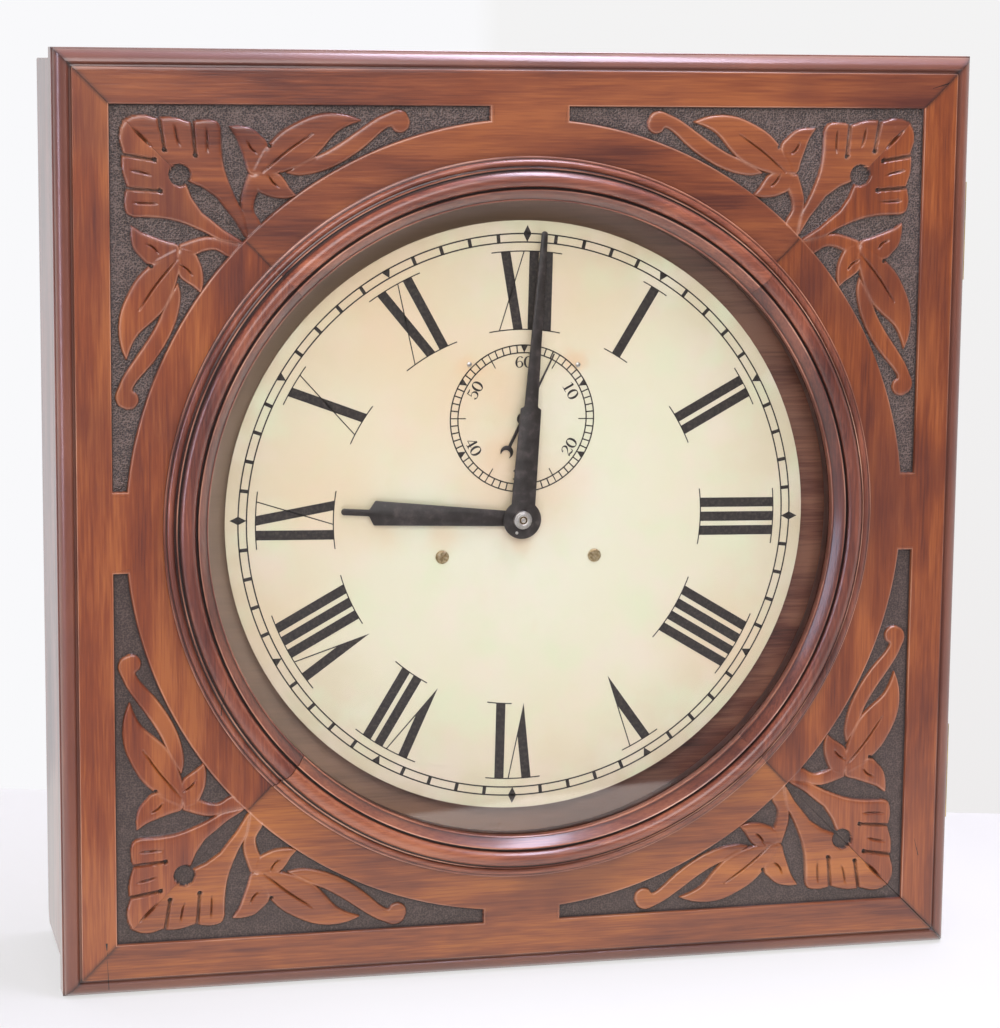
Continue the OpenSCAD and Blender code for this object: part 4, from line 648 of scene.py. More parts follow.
# Carved half corner: outlines in millimetres right and up from the dial's middle, each with the depth of its top
carving = {
    "scroll": (-0.75, [[71.7, 235.5], [74, 240.3], [79, 242], [84.5, 240], [91, 237], [100, 231], [110, 224],
                       [120, 218], [131, 213], [143, 206.3]],
               [[143, 206.3], [136, 205], [126, 206.5], [116, 210], [106, 215.5], [97, 222], [88, 230], [82.5, 233],
                [80, 230.4], [76, 229.6], [72.5, 232], [71.7, 235.5]]),
    "leaf": (-0.15, [[100.5, 236], [108, 238.7], [118, 239.8], [128, 238.3], [138, 234], [147, 228.5], [154.5, 220.5],
                     [159, 213], [162, 207]],
             [[162, 207], [155, 204.6], [148, 206.3], [142, 208], [135, 211], [128, 215], [122, 221], [115, 229],
              [108, 233.3], [100.5, 236]]),
    "bud": (-0.5, [[158, 206], [154.5, 221], [158.5, 226.8], [163.5, 230.8], [170, 232.3], [175.8, 232.3]],
            [[175.8, 232.3], [172, 226.5], [169.3, 219.5], [167, 213], [164.5, 206], [158, 206]]),
    "sideLeaf": (-0.35, [[163, 204], [158, 207], [148.5, 205.5], [144.5, 201.5], [142, 197.5], [138.3, 193.2]],
                 [[138.3, 193.2], [143, 192], [150, 192.3], [155.5, 194], [160.5, 197], [163, 204]]),
    "stalk": (-0.5, [[157.5, 205], [159.5, 197], [162, 191], [162.6, 184], [158.5, 176.5], [159, 168]],
              [[166, 168], [165.9, 171.7], [167.6, 181], [169.3, 186], [169.3, 192], [167, 200], [164.5, 206.7]]),
    "flower": (-0.1, [[166, 169], [167.8, 180.5], [170, 185.5], [173.3, 191.7], [177.5, 201.7], [180, 210],
                      [181.3, 220], [181.5, 230.5]],
               [[181.5, 230.5], [183.5, 234.6], [190, 235.8], [196, 234.9], [198.5, 234.2], [206.5, 236.6], [214, 237],
                [218, 236.4], [225, 238.3], [231, 237.8], [234.6, 236]]),
}
flowerFold = [[236.2, 235], [205.5, 204], [200, 201.7], [191.7, 198.3], [183.3, 192.5], [179, 187], [173.3, 180],
              [167.5, 170.5]]
carvedCuts = {
    "slits": [[[196.9, 237], [198.3, 237], [196.3, 216], [195.4, 216]],
              [[216, 239], [217.4, 239], [213.9, 219], [213, 219]]],
    "drills": [(195.9, 216, 1.15), (213.5, 219, 1.15), (166.9, 206.6, 1.0), (153.2, 221.4, 0.9)],
    "eye": (204.8, 204.8, 5.8),
    "veins": [[(128.5, 228.5), (143, 218.6), (157.5, 206.5)], [(165.8, 224), (163.9, 220), (160.8, 217.5)],
              [(154, 205), (151.4, 200.8), (148.3, 198.3)], [(189.4, 231), (189, 225), (189, 218)],
              [(207.5, 232.5), (206.4, 226.5), (205, 221.7)], [(221, 221), (226.4, 225.8), (231, 231)]],
}


def smoothLine(points, steps=3):
    p = np.array(points, float)
    made = []
    for i in range(len(p) - 1):
        a, b, c, d = p[max(i - 1, 0)], p[i], p[i + 1], p[min(i + 2, len(p) - 1)]
        for k in range(steps):
            t = k / steps
            square, cube = 2 * a - 5 * b + 4 * c - d, 3 * b - a - 3 * c + d
            made.append(0.5 * (2 * b + (c - a) * t + square * t * t + cube * t ** 3))
    return made


# Distance to a closed outline, less than zero inside
def outlineDistance(x, z, outline):
    near, inside = np.full(x.shape, 1e9), np.zeros(x.shape, bool)
    for (ax, az), (bx, bz) in zip(outline, np.roll(outline, -1, 0)):
        ex, ez = bx - ax, bz - az
        t = np.clip(((x - ax) * ex + (z - az) * ez) / max(ex * ex + ez * ez, 1e-9), 0, 1)
        near = np.minimum(near, (x - ax - t * ex) ** 2 + (z - az - t * ez) ** 2)
        if az != bz:
            inside ^= ((az > z) != (bz > z)) & (x < ex * (z - az) / ez + ax)
    return np.sqrt(near) * np.where(inside, -1, 1)


def ease(t):
    t = np.clip(t, 0, 1)
    return t * t * (3 - 2 * t)


def carvedHeights(x, z):
    depth = door["depth"]
    level, edge = np.full(x.shape, -depth), np.full(x.shape, 1e9)
    for key, (high, upper, lower) in carving.items():
        outline = np.array(smoothLine(upper) + smoothLine(lower) + (flowerFold if key == "flower" else []))
        for a, b in ((x, z), (z, x)):
            away = outlineDistance(a, b, outline)
            level = np.maximum(level, high - 0.35 * np.maximum(away, 0))
            edge = np.minimum(edge, away)
    level = np.where(edge < 0, level - 0.45 * np.exp(np.minimum(edge, 0) / 0.7), level - 0.45)
    top = np.where(edge < 0, level, level - (level + depth) * ease(edge / 0.9))
    cuts = [(outlineDistance(a, b, np.array(slit)), 2.3, 0.7) for slit in carvedCuts["slits"]
            for a, b in ((x, z), (z, x))]
    cuts += [(np.hypot(a - cx, b - cz) - r, 2.6, 0.4) for cx, cz, r in carvedCuts["drills"]
             for a, b in ((x, z), (z, x))]
    cuts.append((np.hypot(x - carvedCuts["eye"][0], z - carvedCuts["eye"][1]) - carvedCuts["eye"][2], depth, 0.8))
    for away, deep, wall in cuts:
        top = np.minimum(top, -deep * (1 - ease(away / wall)))
        edge = np.maximum(edge, -away)
    grooves = np.zeros(x.shape)
    for vein in carvedCuts["veins"]:
        line = np.array(smoothLine(vein, 4) + [np.array(vein[-1], float)])
        length = len(line) - 1
        for a, b in ((x, z), (z, x)):
            for k, ((ax, az), (bx, bz)) in enumerate(zip(line[:-1], line[1:])):
                ex, ez = bx - ax, bz - az
                t = np.clip(((a - ax) * ex + (b - az) * ez) / (ex * ex + ez * ez), 0, 1)
                away = np.hypot(a - ax - t * ex, b - az - t * ez)
                taper = 0.35 + 0.65 * ease(np.minimum(k + t, length - k - t) / (0.3 * length))
                grooves = np.maximum(grooves, taper * np.clip(1 - away / 0.8, 0, 1))
    top = top - 1.6 * grooves * (top > -1.8)
    sunk = np.minimum.reduce([x - door["bar"], door["ground"] - z, z - door["bar"], np.hypot(x, z) - door["ring"]])
    recess = np.where(sunk > 0, -depth * ease(sunk / 0.75) - 0.14, -0.14 * np.exp(sunk / 0.35))
    height = np.maximum(np.where(sunk > 0, top, -9), recess)
    ground = ease((-height - 1.9) / 0.8)
    # Painted shade on the ground at the foot of the walls and in the carved veins
    foot = np.exp(-np.minimum(np.abs(edge), np.abs(sunk - 0.7)) / 0.7)
    marks = {"ground": ground, "grime": np.clip(0.85 * ground * foot + 0.75 * grooves ** 2 * (1 - ground), 0, 1),
             # Painted highlights, partly wear, along the carving's edges and along the recess's edge
             "wear": np.clip((1 - ground) * 0.4 * np.exp(-np.abs(edge + 0.25) / 0.35) * (edge < 0.2)
                             + 0.6 * np.exp(-np.abs(sunk + 0.1) / 0.35) * (sunk < 0.15), 0, 1)}
    return height, marks


def carvedTiles():
    s = np.concatenate([np.linspace(door["barIn"], 0.112, 16), np.linspace(0.112, 0.285, 38)[1:],
                        np.linspace(0.285, 1, 320)[1:]])
    inner, outer = door["ringIn"] / np.hypot(1, s), np.full(s.shape, door["railOut"])
    near, far = np.arange(9) * 0.28, np.arange(8)[::-1] * 0.24
    middle = np.linspace(0, 1, 104)[1:-1]
    rows = [inner + d for d in near] + [inner + near[-1] + t * (outer - far[0] - inner - near[-1]) for t in middle]
    rows += [outer - d for d in far]
    z = np.stack(rows, 1)
    x = s[:, None] * z
    height, marks = carvedHeights(x, z)
    bottom = door["front"] + door["pocket"] - 0.04
    y = door["front"] - height
    y = np.concatenate([y, np.full((len(s), 2), bottom)], 1)
    z = np.concatenate([z, z[:, -1:], z[:, :1]], 1)
    marks = {key: np.concatenate([value, np.zeros((len(s), 2))], 1) for key, value in marks.items()}
    faces = loopFaces(len(s), z.shape[1])
    for name, quarter, material, slot, node, gapLow, gapHigh in boards:
        for side, gap in ((1, gapHigh), (-1, gapLow)):
            shift = mitreGap(z, gap) * s[:, None] ** 8
            tile = np.stack([side * s[:, None] * (z - shift), y, z], -1)
            upper = quarter == 0 or (quarter, side) in ((1, -1), (3, 1))
            marks["stipple"] = np.full(z.shape, 1.0 if upper else 0.4)
            addPiece("carving" + name + ("Right" if side > 0 else "Left"), turnQuarter(tile, quarter), faces, material,
                     "door", marks, sharp=50)


for board in boards:
    boardCore(*board)
carvedTiles()


hingeSeats = {"heights": (-170, 170), "across": 267, "level": -122.3, "size": (20.4, 2.6, 60.4)}


# Cuts the hinge leaves' seats into the back of the right stile
def cutHingeSeats(piece):
    seats = bmesh.new()
    size = Matrix.Diagonal(Vector(hingeSeats["size"]) * mm).to_4x4()
    for height in hingeSeats["heights"]:
        made = bmesh.ops.create_cube(seats, size=1.0)
        place = Matrix.Translation(Vector((hingeSeats["across"], hingeSeats["level"], height)) * mm) @ size
        bmesh.ops.transform(seats, matrix=place, verts=made["verts"])
    tool = bpy.data.objects.new("hingeSeats", bpy.data.meshes.new("hingeSeats"))
    seats.to_mesh(tool.data)
    scene.collection.objects.link(tool)
    cut = piece.modifiers.new("seats", "BOOLEAN")
    cut.object, cut.operation, cut.solver = tool, "DIFFERENCE", "EXACT"
    piece.data = evaluatedMesh(piece)
    piece.modifiers.clear()
    bpy.data.objects.remove(tool)


cutHingeSeats(bpy.data.objects["doorRightStile"])

print("bezel, by Geometry Nodes")
bezel = {"inner": 190.3, "outer": 216.0, "height": 13.8, "steps": 72, "joint": 0.02, "openJoint": 0.07,
         "endMiddle": (0.2035, 0.0035)}


# Section of the turned bezel: radius, height above the door, and a mark that is painted shade with some grime in the
# grooves and on the inner slope above zero, and painted highlights with some wear on the arrises below zero
def bezelSection():
    i, o, b = bezel["inner"], bezel["outer"], bezel["height"]
    points = [(i, 0, 0.3), (i, 4.2, 0.2), (i + 0.15, 4.9, -0.5), (i + 0.6, 5.3, 0.0), (i + 1.2, 5.3, 0.8),
              (i + 2.6, 7.0, 0.35), (i + 4.3, 9.1, 0.3), (i + 5.7, 10.5, 0.25), (i + 6.2, 10.9, -0.6),
              (i + 6.6, 11, -0.8), (i + 6.85, 10.5, 0.2), (i + 6.9, 9.7, 0.9), (i + 7.3, 9.2, 1.0),
              (i + 7.7, 9.2, 1.0)]
    points += [(i + 12.7 + 4.8 * math.cos(math.radians(a)), b - 5.2 + 5.2 * math.sin(math.radians(a)),
                0.8 if a > 150 or a < 34 else 0) for a in range(160, 19, -10)]
    points += [(i + 17.5, 8.2, 1.0), (i + 18.2, 8.2, 0.9), (i + 18.4, 8.75, -0.6), (i + 18.95, 8.8, -0.9),
               (i + 19.1, 8.3, 0.1), (i + 19.3, 5.5, 0.9)]
    points += [(i + 21.8 + 2.1 * math.cos(math.radians(a)), 4.2 + 2.1 * math.sin(math.radians(a)),
                0.7 if a > 140 or a < 10 else 0) for a in range(150, -1, -15)]
    points += [(i + 24, 3.2, 0.8), (i + 24.4, 3.15, 0.5), (o - 0.7, 3.15, 0.0), (o - 0.15, 2.9, -0.8), (o, 2.5, 0),
               (o, 0, 0.9)]
    return points


# The tree wraps a grid round the axis: each column is the section at one angle, and the end columns close the piece
def turnedMouldingTree():
    tree, given = groupTree("turnedMoulding", {
        "Section": "Geometry", "Start Angle": "Float", "Sweep": "Float", "Steps": "Int", "Section Points": "Int",
        "Front Level": "Float", "Middle Radius": "Float", "Middle Height": "Float", "Wood": "Material"}, "Moulding")
    columns = calc(tree, "ADD", given["Steps"], 3.0)
    grid = wire(tree, "GeometryNodeMeshGrid", {"Vertices X": columns, "Vertices Y": given["Section Points"]})
    index = wire(tree, "GeometryNodeInputIndex")
    ratio = calc(tree, "DIVIDE", index, given["Section Points"])
    column = calc(tree, "FLOOR", calc(tree, "ADD", ratio, 0.0001))
    row = calc(tree, "MODULO", index, given["Section Points"])
    place = wire(tree, "GeometryNodeInputPosition")
    shape = separate(tree, wire(tree, "GeometryNodeSampleIndex", {0: given["Section"], 1: place, "Index": row},
                                data_type="FLOAT_VECTOR"))
    part = calc(tree, "DIVIDE", calc(tree, "SUBTRACT", column, 1.0), given["Steps"], clamp=True)
    angle = calc(tree, "MULTIPLY_ADD", part, given["Sweep"], given["Start Angle"])
    isLast = calc(tree, "GREATER_THAN", column, calc(tree, "ADD", given["Steps"], 1.5))
    isEnd = calc(tree, "ADD", isLast, calc(tree, "LESS_THAN", column, 0.5))
    radius = mixValue(tree, isEnd, shape["X"], given["Middle Radius"])
    high = mixValue(tree, isEnd, shape["Y"], given["Middle Height"])
    where = combine(tree, calc(tree, "MULTIPLY", radius, calc(tree, "SINE", angle)),
                    calc(tree, "SUBTRACT", given["Front Level"], high),
                    calc(tree, "MULTIPLY", radius, calc(tree, "COSINE", angle)))
    made = wire(tree, "GeometryNodeSetPosition", {"Geometry": grid, "Position": where})
    # The section's third value, stored as painted shade in the grooves and painted highlights on the arrises
    for name, value in (("grime", shape["Z"]), ("wear", calc(tree, "MULTIPLY", shape["Z"], -1.0))):
        made = wire(tree, "GeometryNodeStoreNamedAttribute", {"Geometry": made, "Name": name, "Value": value},
                    data_type="FLOAT", domain="POINT")
    closed = wire(tree, "GeometryNodeMergeByDistance", {"Geometry": made, "Distance": 0.000002})
    soft = wire(tree, "GeometryNodeSetShadeSmooth", {"Geometry": closed, "Shade Smooth": True})
    return finishTree(tree, soft, given["Wood"])


# Runs a tree on base points and keeps the result as a plain mesh
def grown(name, tree, base, inputs, material, body, stands=(), sharp=34):
    holder = bpy.data.objects.new(name + "Base", base)
    scene.collection.objects.link(holder)
    growth = holder.modifiers.new("growth", "NODES")
    growth.node_group = tree
    for item in tree.interface.items_tree:
        if item.item_type == "SOCKET" and item.in_out == "INPUT" and item.name in inputs:
            growth[item.identifier] = inputs[item.name]
    bpy.context.view_layer.update()
    mesh = evaluatedMesh(holder)
    bpy.data.objects.remove(holder)
    mesh.name = name
    made = bmesh.new()
    made.from_mesh(mesh)
    if made.calc_volume(signed=True) < 0:
        bmesh.ops.reverse_faces(made, faces=made.faces)
    made.to_mesh(mesh)
    made.free()
    mesh.set_sharp_from_angle(angle=math.radians(sharp))
    if not mesh.materials:
        mesh.materials.append(material)
    return settle(bpy.data.objects.new(name, mesh), body, stands)


def pointMesh(name, points, edges=()):
    mesh = bpy.data.meshes.new(name)
    mesh.from_pydata([tuple(p) for p in points], list(edges), [])
    return mesh


mouldingTree = turnedMouldingTree()
section = bezelSection()
section.append(section[0])
sectionMesh = pointMesh("bezelSection", [(r * mm, h * mm, shadeAndShine) for r, h, shadeAndShine in section])
for k, (name, node) in enumerate((("bezelTop", "bezel_top"), ("bezelRight", "bezel_right"),
                                  ("bezelBottom", "bezel_bottom"), ("bezelLeft", "bezel_left"))):
    low = bezel["openJoint"] if k == 3 else bezel["joint"]
    high = bezel["openJoint"] if k == 2 else bezel["joint"]
    grown(name + "Moulding", mouldingTree, sectionMesh.copy(),
          {"Start Angle": math.radians(90 * k - 45 + low), "Sweep": math.radians(90 - low - high),
           "Steps": bezel["steps"], "Section Points": len(section), "Front Level": door["front"] * mm,
           "Middle Radius": bezel["endMiddle"][0], "Middle Height": bezel["endMiddle"][1], "Wood": wood[name]},
           wood[name], "door", stands=[node])

print("glass ring")
ring = [(190.5, 2.5), (196.4, 2.5), (196.8, 2.9), (196.8, 14.6), (196.4, 15.0), (192.8, 15.0), (192.3, 14.7),
        (190.5, 9.2)]
addTurned("glassRingTurned", ring, 144, (0, door["front"], 0), wood["shadedGlassRing"], "door",
          ["glass_ring"])


# A copy of a CAD node with merged points, and softened edges where it asks for them
def refined(node, material, slot, bevel):
    made = bmesh.new()
    made.from_mesh(cadNodes[node].data)
    bmesh.ops.remove_doubles(made, verts=made.verts, dist=2e-6)
    bmesh.ops.dissolve_limit(made, angle_limit=math.radians(0.6), verts=made.verts, edges=made.edges)
    mesh = bpy.data.meshes.new(node + "Finished")
    made.to_mesh(mesh)
    made.free()
    mesh.materials.clear()
    mesh.materials.append(material)
    piece = bpy.data.objects.new(node + "Finished", mesh)
    scene.collection.objects.link(piece)
    if bevel:
        soften = piece.modifiers.new("soften", "BEVEL")
        soften.width, soften.segments = bevel * mm, 2
        soften.limit_method, soften.angle_limit = "ANGLE", math.radians(42)
        soften.use_clamp_overlap = True
        mesh = evaluatedMesh(piece)
        piece.modifiers.clear()
        piece.data = mesh
    mesh.polygons.foreach_set("use_smooth", np.ones(len(mesh.polygons), bool))
    mesh.set_sharp_from_angle(angle=math.radians(32))
    return settle(piece, cadNodes[node]["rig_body"], [node])


print("case, mat and metal parts")
finishes = {
    "caseSide": (wood["caseSide"], "case_wood"), "caseEnd": (wood["caseEnd"], "case_wood"),
    "back": (wood["back"], "back_wood"), "mat": (wood["mat"], "mat_wood"), "brass": (metal["brass"], "brass"),
    "glass": (glass, "clear_glass"), "enamel": (enamel, "dial_enamel"),
    "handBlack": (paint["handBlack"], "hand_black"), "wheelBrass": (metal["brightBrass"], "brass"),
    "japan": (paint["japan"], "iron"), "steel": (metal["steel"], "steel"),
    "softIron": (metal["softIron"], "soft_iron"), "rodBrass": (metal["brightBrass"], "bright_brass"),
}
# Finish of each part that is the CAD solid itself, and the width of its softened edges in mm
plainParts = {
    "case_left_side": ("caseSide", 0.8), "case_right_side": ("caseSide", 0.8), "case_top": ("caseEnd", 0.5),
    "case_bottom": ("caseEnd", 0.5), "case_back": ("back", 0.3), "dial_mat": ("mat", 0.4), "mat_blocks": ("back", 0.6),
    "hanger_plate": ("brass", 0.3), "hinge_case_leaves": ("brass", 0.0), "hinge_door_leaves": ("brass", 0.0),
    "door_stud": ("brass", 0.2), "door_hook": ("brass", 0.3), "door_glass": ("glass", 0.0), "dial": ("enamel", 0.0),
    "hour_hand": ("handBlack", 0.25), "minute_hand": ("handBlack", 0.25), "seconds_hand": ("handBlack", 0.15),
    "front_plate": ("brass", 0.3), "back_plate": ("brass", 0.3), "plate_pillars": ("wheelBrass", 0.3),
    "movement_bracket": ("japan", 0.8), "centre_wheel": ("wheelBrass", 0.0), "cannon_pinion": ("steel", 0.0),
    "minute_wheel": ("wheelBrass", 0.0), "hour_wheel": ("wheelBrass", 0.0), "third_wheel": ("wheelBrass", 0.0),
    "escape_wheel": ("wheelBrass", 0.0), "anchor": ("steel", 0.0), "winding_wheel": ("wheelBrass", 0.0),
    "ratchet_wheel": ("steel", 0.0), "armature": ("softIron", 0.3), "magnet_yoke": ("softIron", 0.3),
    "contact_springs": ("brass", 0.1), "suspension_cock": ("brass", 0.3), "suspension_spring": ("steel", 0.0),
    "pendulum_rod": ("rodBrass", 0.2), "rating_nut": ("rodBrass", 0.0),
}
for node, (finish, bevel) in plainParts.items():
    refined(node, *finishes[finish], bevel)

print("dial print")
printing = {"level": -130.0, "ink": 0.15, "track": 170.0, "band": 5.0, "secondsTrack": 44.0, "secondsBand": 4.6,
            "secondsHeight": 60.0, "inner": 113.0, "outer": 160.0, "stroke": 5.7, "hair": 0.65, "serif": 5.6,
            "figureRadius": 33.9, "figureHeight": 6.9, "figureWiden": 1.25, "figureStep": 5.3}


# Two ring lines with a mark at each count, in the XY plane, laid on the dial
def trackTree():
    tree, given = groupTree("printedTrack", {
        "Start": "Geometry", "Radius": "Float", "Band": "Float", "Line Width": "Float", "Mark Width": "Float",
        "Marks": "Int", "Skip Every": "Int", "Ink": "Float", "Print": "Material"}, "Track")
    inner = calc(tree, "SUBTRACT", given["Radius"], given["Band"])
    middle = calc(tree, "MULTIPLY_ADD", given["Band"], -0.5, given["Radius"])
    profile = wire(tree, "GeometryNodeCurvePrimitiveQuadrilateral",
                   {"Width": given["Line Width"], "Height": given["Ink"]})
    parts = []
    for radius in (given["Radius"], inner):
        circle = wire(tree, "GeometryNodeCurvePrimitiveCircle", {"Resolution": 360, "Radius": radius})
        parts.append(wire(tree, "GeometryNodeCurveToMesh", {"Curve": circle, "Profile Curve": profile}))
    places = wire(tree, "GeometryNodeMeshCircle", {"Vertices": given["Marks"], "Radius": middle})
    rest = calc(tree, "MODULO", wire(tree, "GeometryNodeInputIndex"), given["Skip Every"])
    where = separate(tree, wire(tree, "GeometryNodeInputPosition"))
    mark = wire(tree, "GeometryNodeMeshCube",
                {"Size": combine(tree, given["Band"], given["Mark Width"], given["Ink"])})
    parts.append(wire(tree, "GeometryNodeInstanceOnPoints", {
        "Points": places, "Selection": calc(tree, "GREATER_THAN", rest, 0.5), "Instance": mark,
        "Rotation": combine(tree, z=calc(tree, "ARCTAN2", where["Y"], where["X"]))}))
    return finishTree(tree, wire(tree, "GeometryNodeJoinGeometry", {0: parts}), given["Print"])


# Lays a flat shape, drawn in XY at the origin, on the dial at a height over its middle
def layOnDial(piece, z):
    toDial = Matrix.Rotation(math.radians(90), 4, "X")
    hang = Matrix.Rotation(math.radians(dialTurn), 4, "Y")
    lift = Matrix.Translation((0, 0, z * mm))
    level = Matrix.Translation((0, (printing["level"] - printing["ink"] / 2) * mm, 0))
    piece.data.transform(level @ hang @ lift @ toDial)
    piece.data.update()


track = trackTree()
tracks = {
    "minuteTrack": (0.0, {"Radius": printing["track"], "Band": printing["band"], "Line Width": 0.8,
                          "Mark Width": 2.1}),
    "secondsTrack": (printing["secondsHeight"], {"Radius": printing["secondsTrack"], "Band": printing["secondsBand"],
                                                 "Line Width": 0.75, "Mark Width": 0.75}),
}
for name, (z, widths) in tracks.items():
    piece = grown(name, track, pointMesh(name, [(0, 0, 0)]), {
        **{key: value * mm for key, value in widths.items()}, "Marks": 60, "Skip Every": 5,
        "Ink": printing["ink"] * mm, "Print": paint["ink"]}, paint["ink"], "case")
    layOnDial(piece, z)


# Numerals and marks: flat outlines given the thickness of the print
def printOutlines(name, outlines, stands=()):
    points, faces, start = [], [], 0
    quads = []
    for outline in outlines:
        n = len(outline)
        for level in (printing["level"] - printing["ink"], printing["level"]):
            points += [(*onTurnedDial(x, z), level) for x, z in outline]
        quads += [(start + i, start + (i + 1) % n, start + n + (i + 1) % n, start + n + i) for i in range(n)]
        faces += [list(range(start, start + n))[::-1], list(range(start + n, start + 2 * n))]
        start += 2 * n
    points = [(x, level, z) for x, z, level in points]
    return addPiece(name, points, (quads, faces), paint["ink"], "case", stands=stands)


def around(points, angle, lift=0.0):
    a = math.radians(angle)
    return [(x * math.cos(a) + (z + lift) * math.sin(a), (z + lift) * math.cos(a) - x * math.sin(a))
            for x, z in points]


def onArc(x, r):
    return x, math.sqrt(r * r - x * x)


# Thick strokes and hairlines that end on arcs round the dial's middle, as on an engraved dial
def numeralOutlines(word):
    widths = {"I": 8.6, "V": 17.0, "X": 17.6}
    thick, thin = printing["stroke"], printing["hair"]
    low, high = printing["inner"] + thin / 2, printing["outer"] - thin / 2
    total = sum(widths[c] for c in word)
    spare = (widths["I"] - thick) / 2 - printing["serif"]
    made, at = [], -total / 2
    for c in word:
        m = at + widths[c] / 2
        for a, b, w in {"I": [(m, m, thick)], "X": [(m + 4.4, m - 4.4, thick), (m - 6.9, m + 6.9, thin)]}.get(c, []):
            made.append([onArc(a - w / 2, low), onArc(a + w / 2, low), onArc(b + w / 2, high), onArc(b - w / 2, high)])
        if c == "V":
            left, right, tip = -7.0, 7.4, -1.4
            share = (right - thin - left - thick) / (right - left)
            joint = (m + right - thin + (tip - right) * share,
                     (low - high) * share + onArc(m + (left + thick + right - thin) / 2, high)[1])
            made.append([onArc(m + tip, low), onArc(m + right, high), onArc(m + right - thin, high), joint])
            made.append([onArc(m + tip, low), joint, onArc(m + left + thick, high), onArc(m + left, high)])
        at += widths[c]
    bars = [(-total / 2 + spare, total / 2 - spare, printing["outer"])]
    if word[0] != "V":
        bars.append((-total / 2 + spare, total / 2 - spare, printing["inner"] + thin))
    elif len(word) > 1:
        bars.append((-total / 2 + widths["V"] - 2.4, total / 2 - spare, printing["inner"] + thin))
    for a, b, r in bars:
        xs = np.linspace(a, b, 13)
        made.append([onArc(x, r) for x in xs] + [onArc(x, r - thin) for x in xs[::-1]])
    return made


outlines = []
for i, word in enumerate(["XII", "I", "II", "III", "IIII", "V", "VI", "VII", "VIII", "IX", "X", "XI"]):
    outlines += [around(shape, 30 * i) for shape in numeralOutlines(word)]
    band = printing["band"]
    pointer = [(0, band), (2.5, 0), (0, -band), (-2.5, 0)] if i % 3 == 0 else [(0, -band), (-2.8, 0.2), (2.8, 0.2)]
    outlines.append(around(pointer, 30 * i, printing["track"]))
printOutlines("numerals", outlines, ["dial_print"])
small = []
for i in range(12):
    band = printing["secondsBand"]
    shape = [(0, -band), (-2.2, 0.1), (2.2, 0.1)] if i % 2 == 0 else [(-0.3, 0), (0.3, 0), (0.3, -9.4), (-0.3, -9.4)]
    small.append([(x, z + printing["secondsHeight"]) for x, z in around(shape, 30 * i, printing["secondsTrack"])])
printOutlines("secondsMarks", small)

# Pen strokes of the seconds figures on a height of 1: across, up and width, with full and hairline parts
figures = {
    "0": [[(0.24 * math.sin(a), 0.5 + 0.47 * math.cos(a), 0.05 + 0.11 * abs(math.sin(a)))
           for a in np.linspace(0, 2 * math.pi, 17)]],
    "1": [[(0.02, 0.96, 0.14), (0.02, 0.03, 0.14)], [(-0.2, 0.02, 0.045), (0.24, 0.02, 0.045)],
          [(-0.18, 0.84, 0.04), (0.0, 0.94, 0.06)]],
    "2": [[(-0.19, 0.74, 0.15), (-0.2, 0.84, 0.07), (-0.05, 0.97, 0.05), (0.12, 0.94, 0.09), (0.2, 0.76, 0.15),
           (0.12, 0.55, 0.1), (-0.06, 0.36, 0.05), (-0.2, 0.18, 0.04), (-0.25, 0.04, 0.04)],
           [(-0.25, 0.05, 0.06), (-0.1, 0.12, 0.12), (0.08, 0.05, 0.13), (0.2, 0.08, 0.07), (0.26, 0.28, 0.03)]],
    "3": [[(-0.19, 0.8, 0.15), (-0.13, 0.93, 0.06), (0.02, 0.98, 0.05), (0.16, 0.86, 0.12), (0.14, 0.65, 0.09),
           (-0.03, 0.54, 0.04)], [(-0.03, 0.54, 0.04), (0.14, 0.47, 0.09), (0.23, 0.26, 0.15), (0.12, 0.06, 0.09),
                                  (-0.05, 0.02, 0.05), (-0.18, 0.09, 0.06), (-0.21, 0.2, 0.15)]],
    "4": [[(0.1, 0.97, 0.05), (-0.27, 0.3, 0.045)], [(-0.28, 0.28, 0.05), (0.27, 0.28, 0.05)],
          [(0.1, 0.97, 0.14), (0.1, 0.03, 0.14)], [(-0.06, 0.02, 0.045), (0.26, 0.02, 0.045)]],
    "5": [[(-0.16, 0.95, 0.045), (-0.18, 0.5, 0.04)], [(-0.16, 0.93, 0.09), (0.0, 0.91, 0.1), (0.17, 0.95, 0.05)],
          [(-0.18, 0.5, 0.04), (-0.02, 0.6, 0.05), (0.14, 0.54, 0.1), (0.22, 0.33, 0.15), (0.14, 0.1, 0.1),
           (-0.02, 0.02, 0.05), (-0.17, 0.07, 0.07), (-0.2, 0.18, 0.14)]],
    "6": [[(0.19, 0.84, 0.13), (0.12, 0.95, 0.06), (-0.03, 0.95, 0.05), (-0.17, 0.77, 0.1), (-0.23, 0.45, 0.15),
           (-0.17, 0.14, 0.1), (0.0, 0.02, 0.05), (0.17, 0.14, 0.1), (0.21, 0.31, 0.13), (0.14, 0.5, 0.08),
           (0.0, 0.57, 0.04), (-0.15, 0.46, 0.05)]],
}


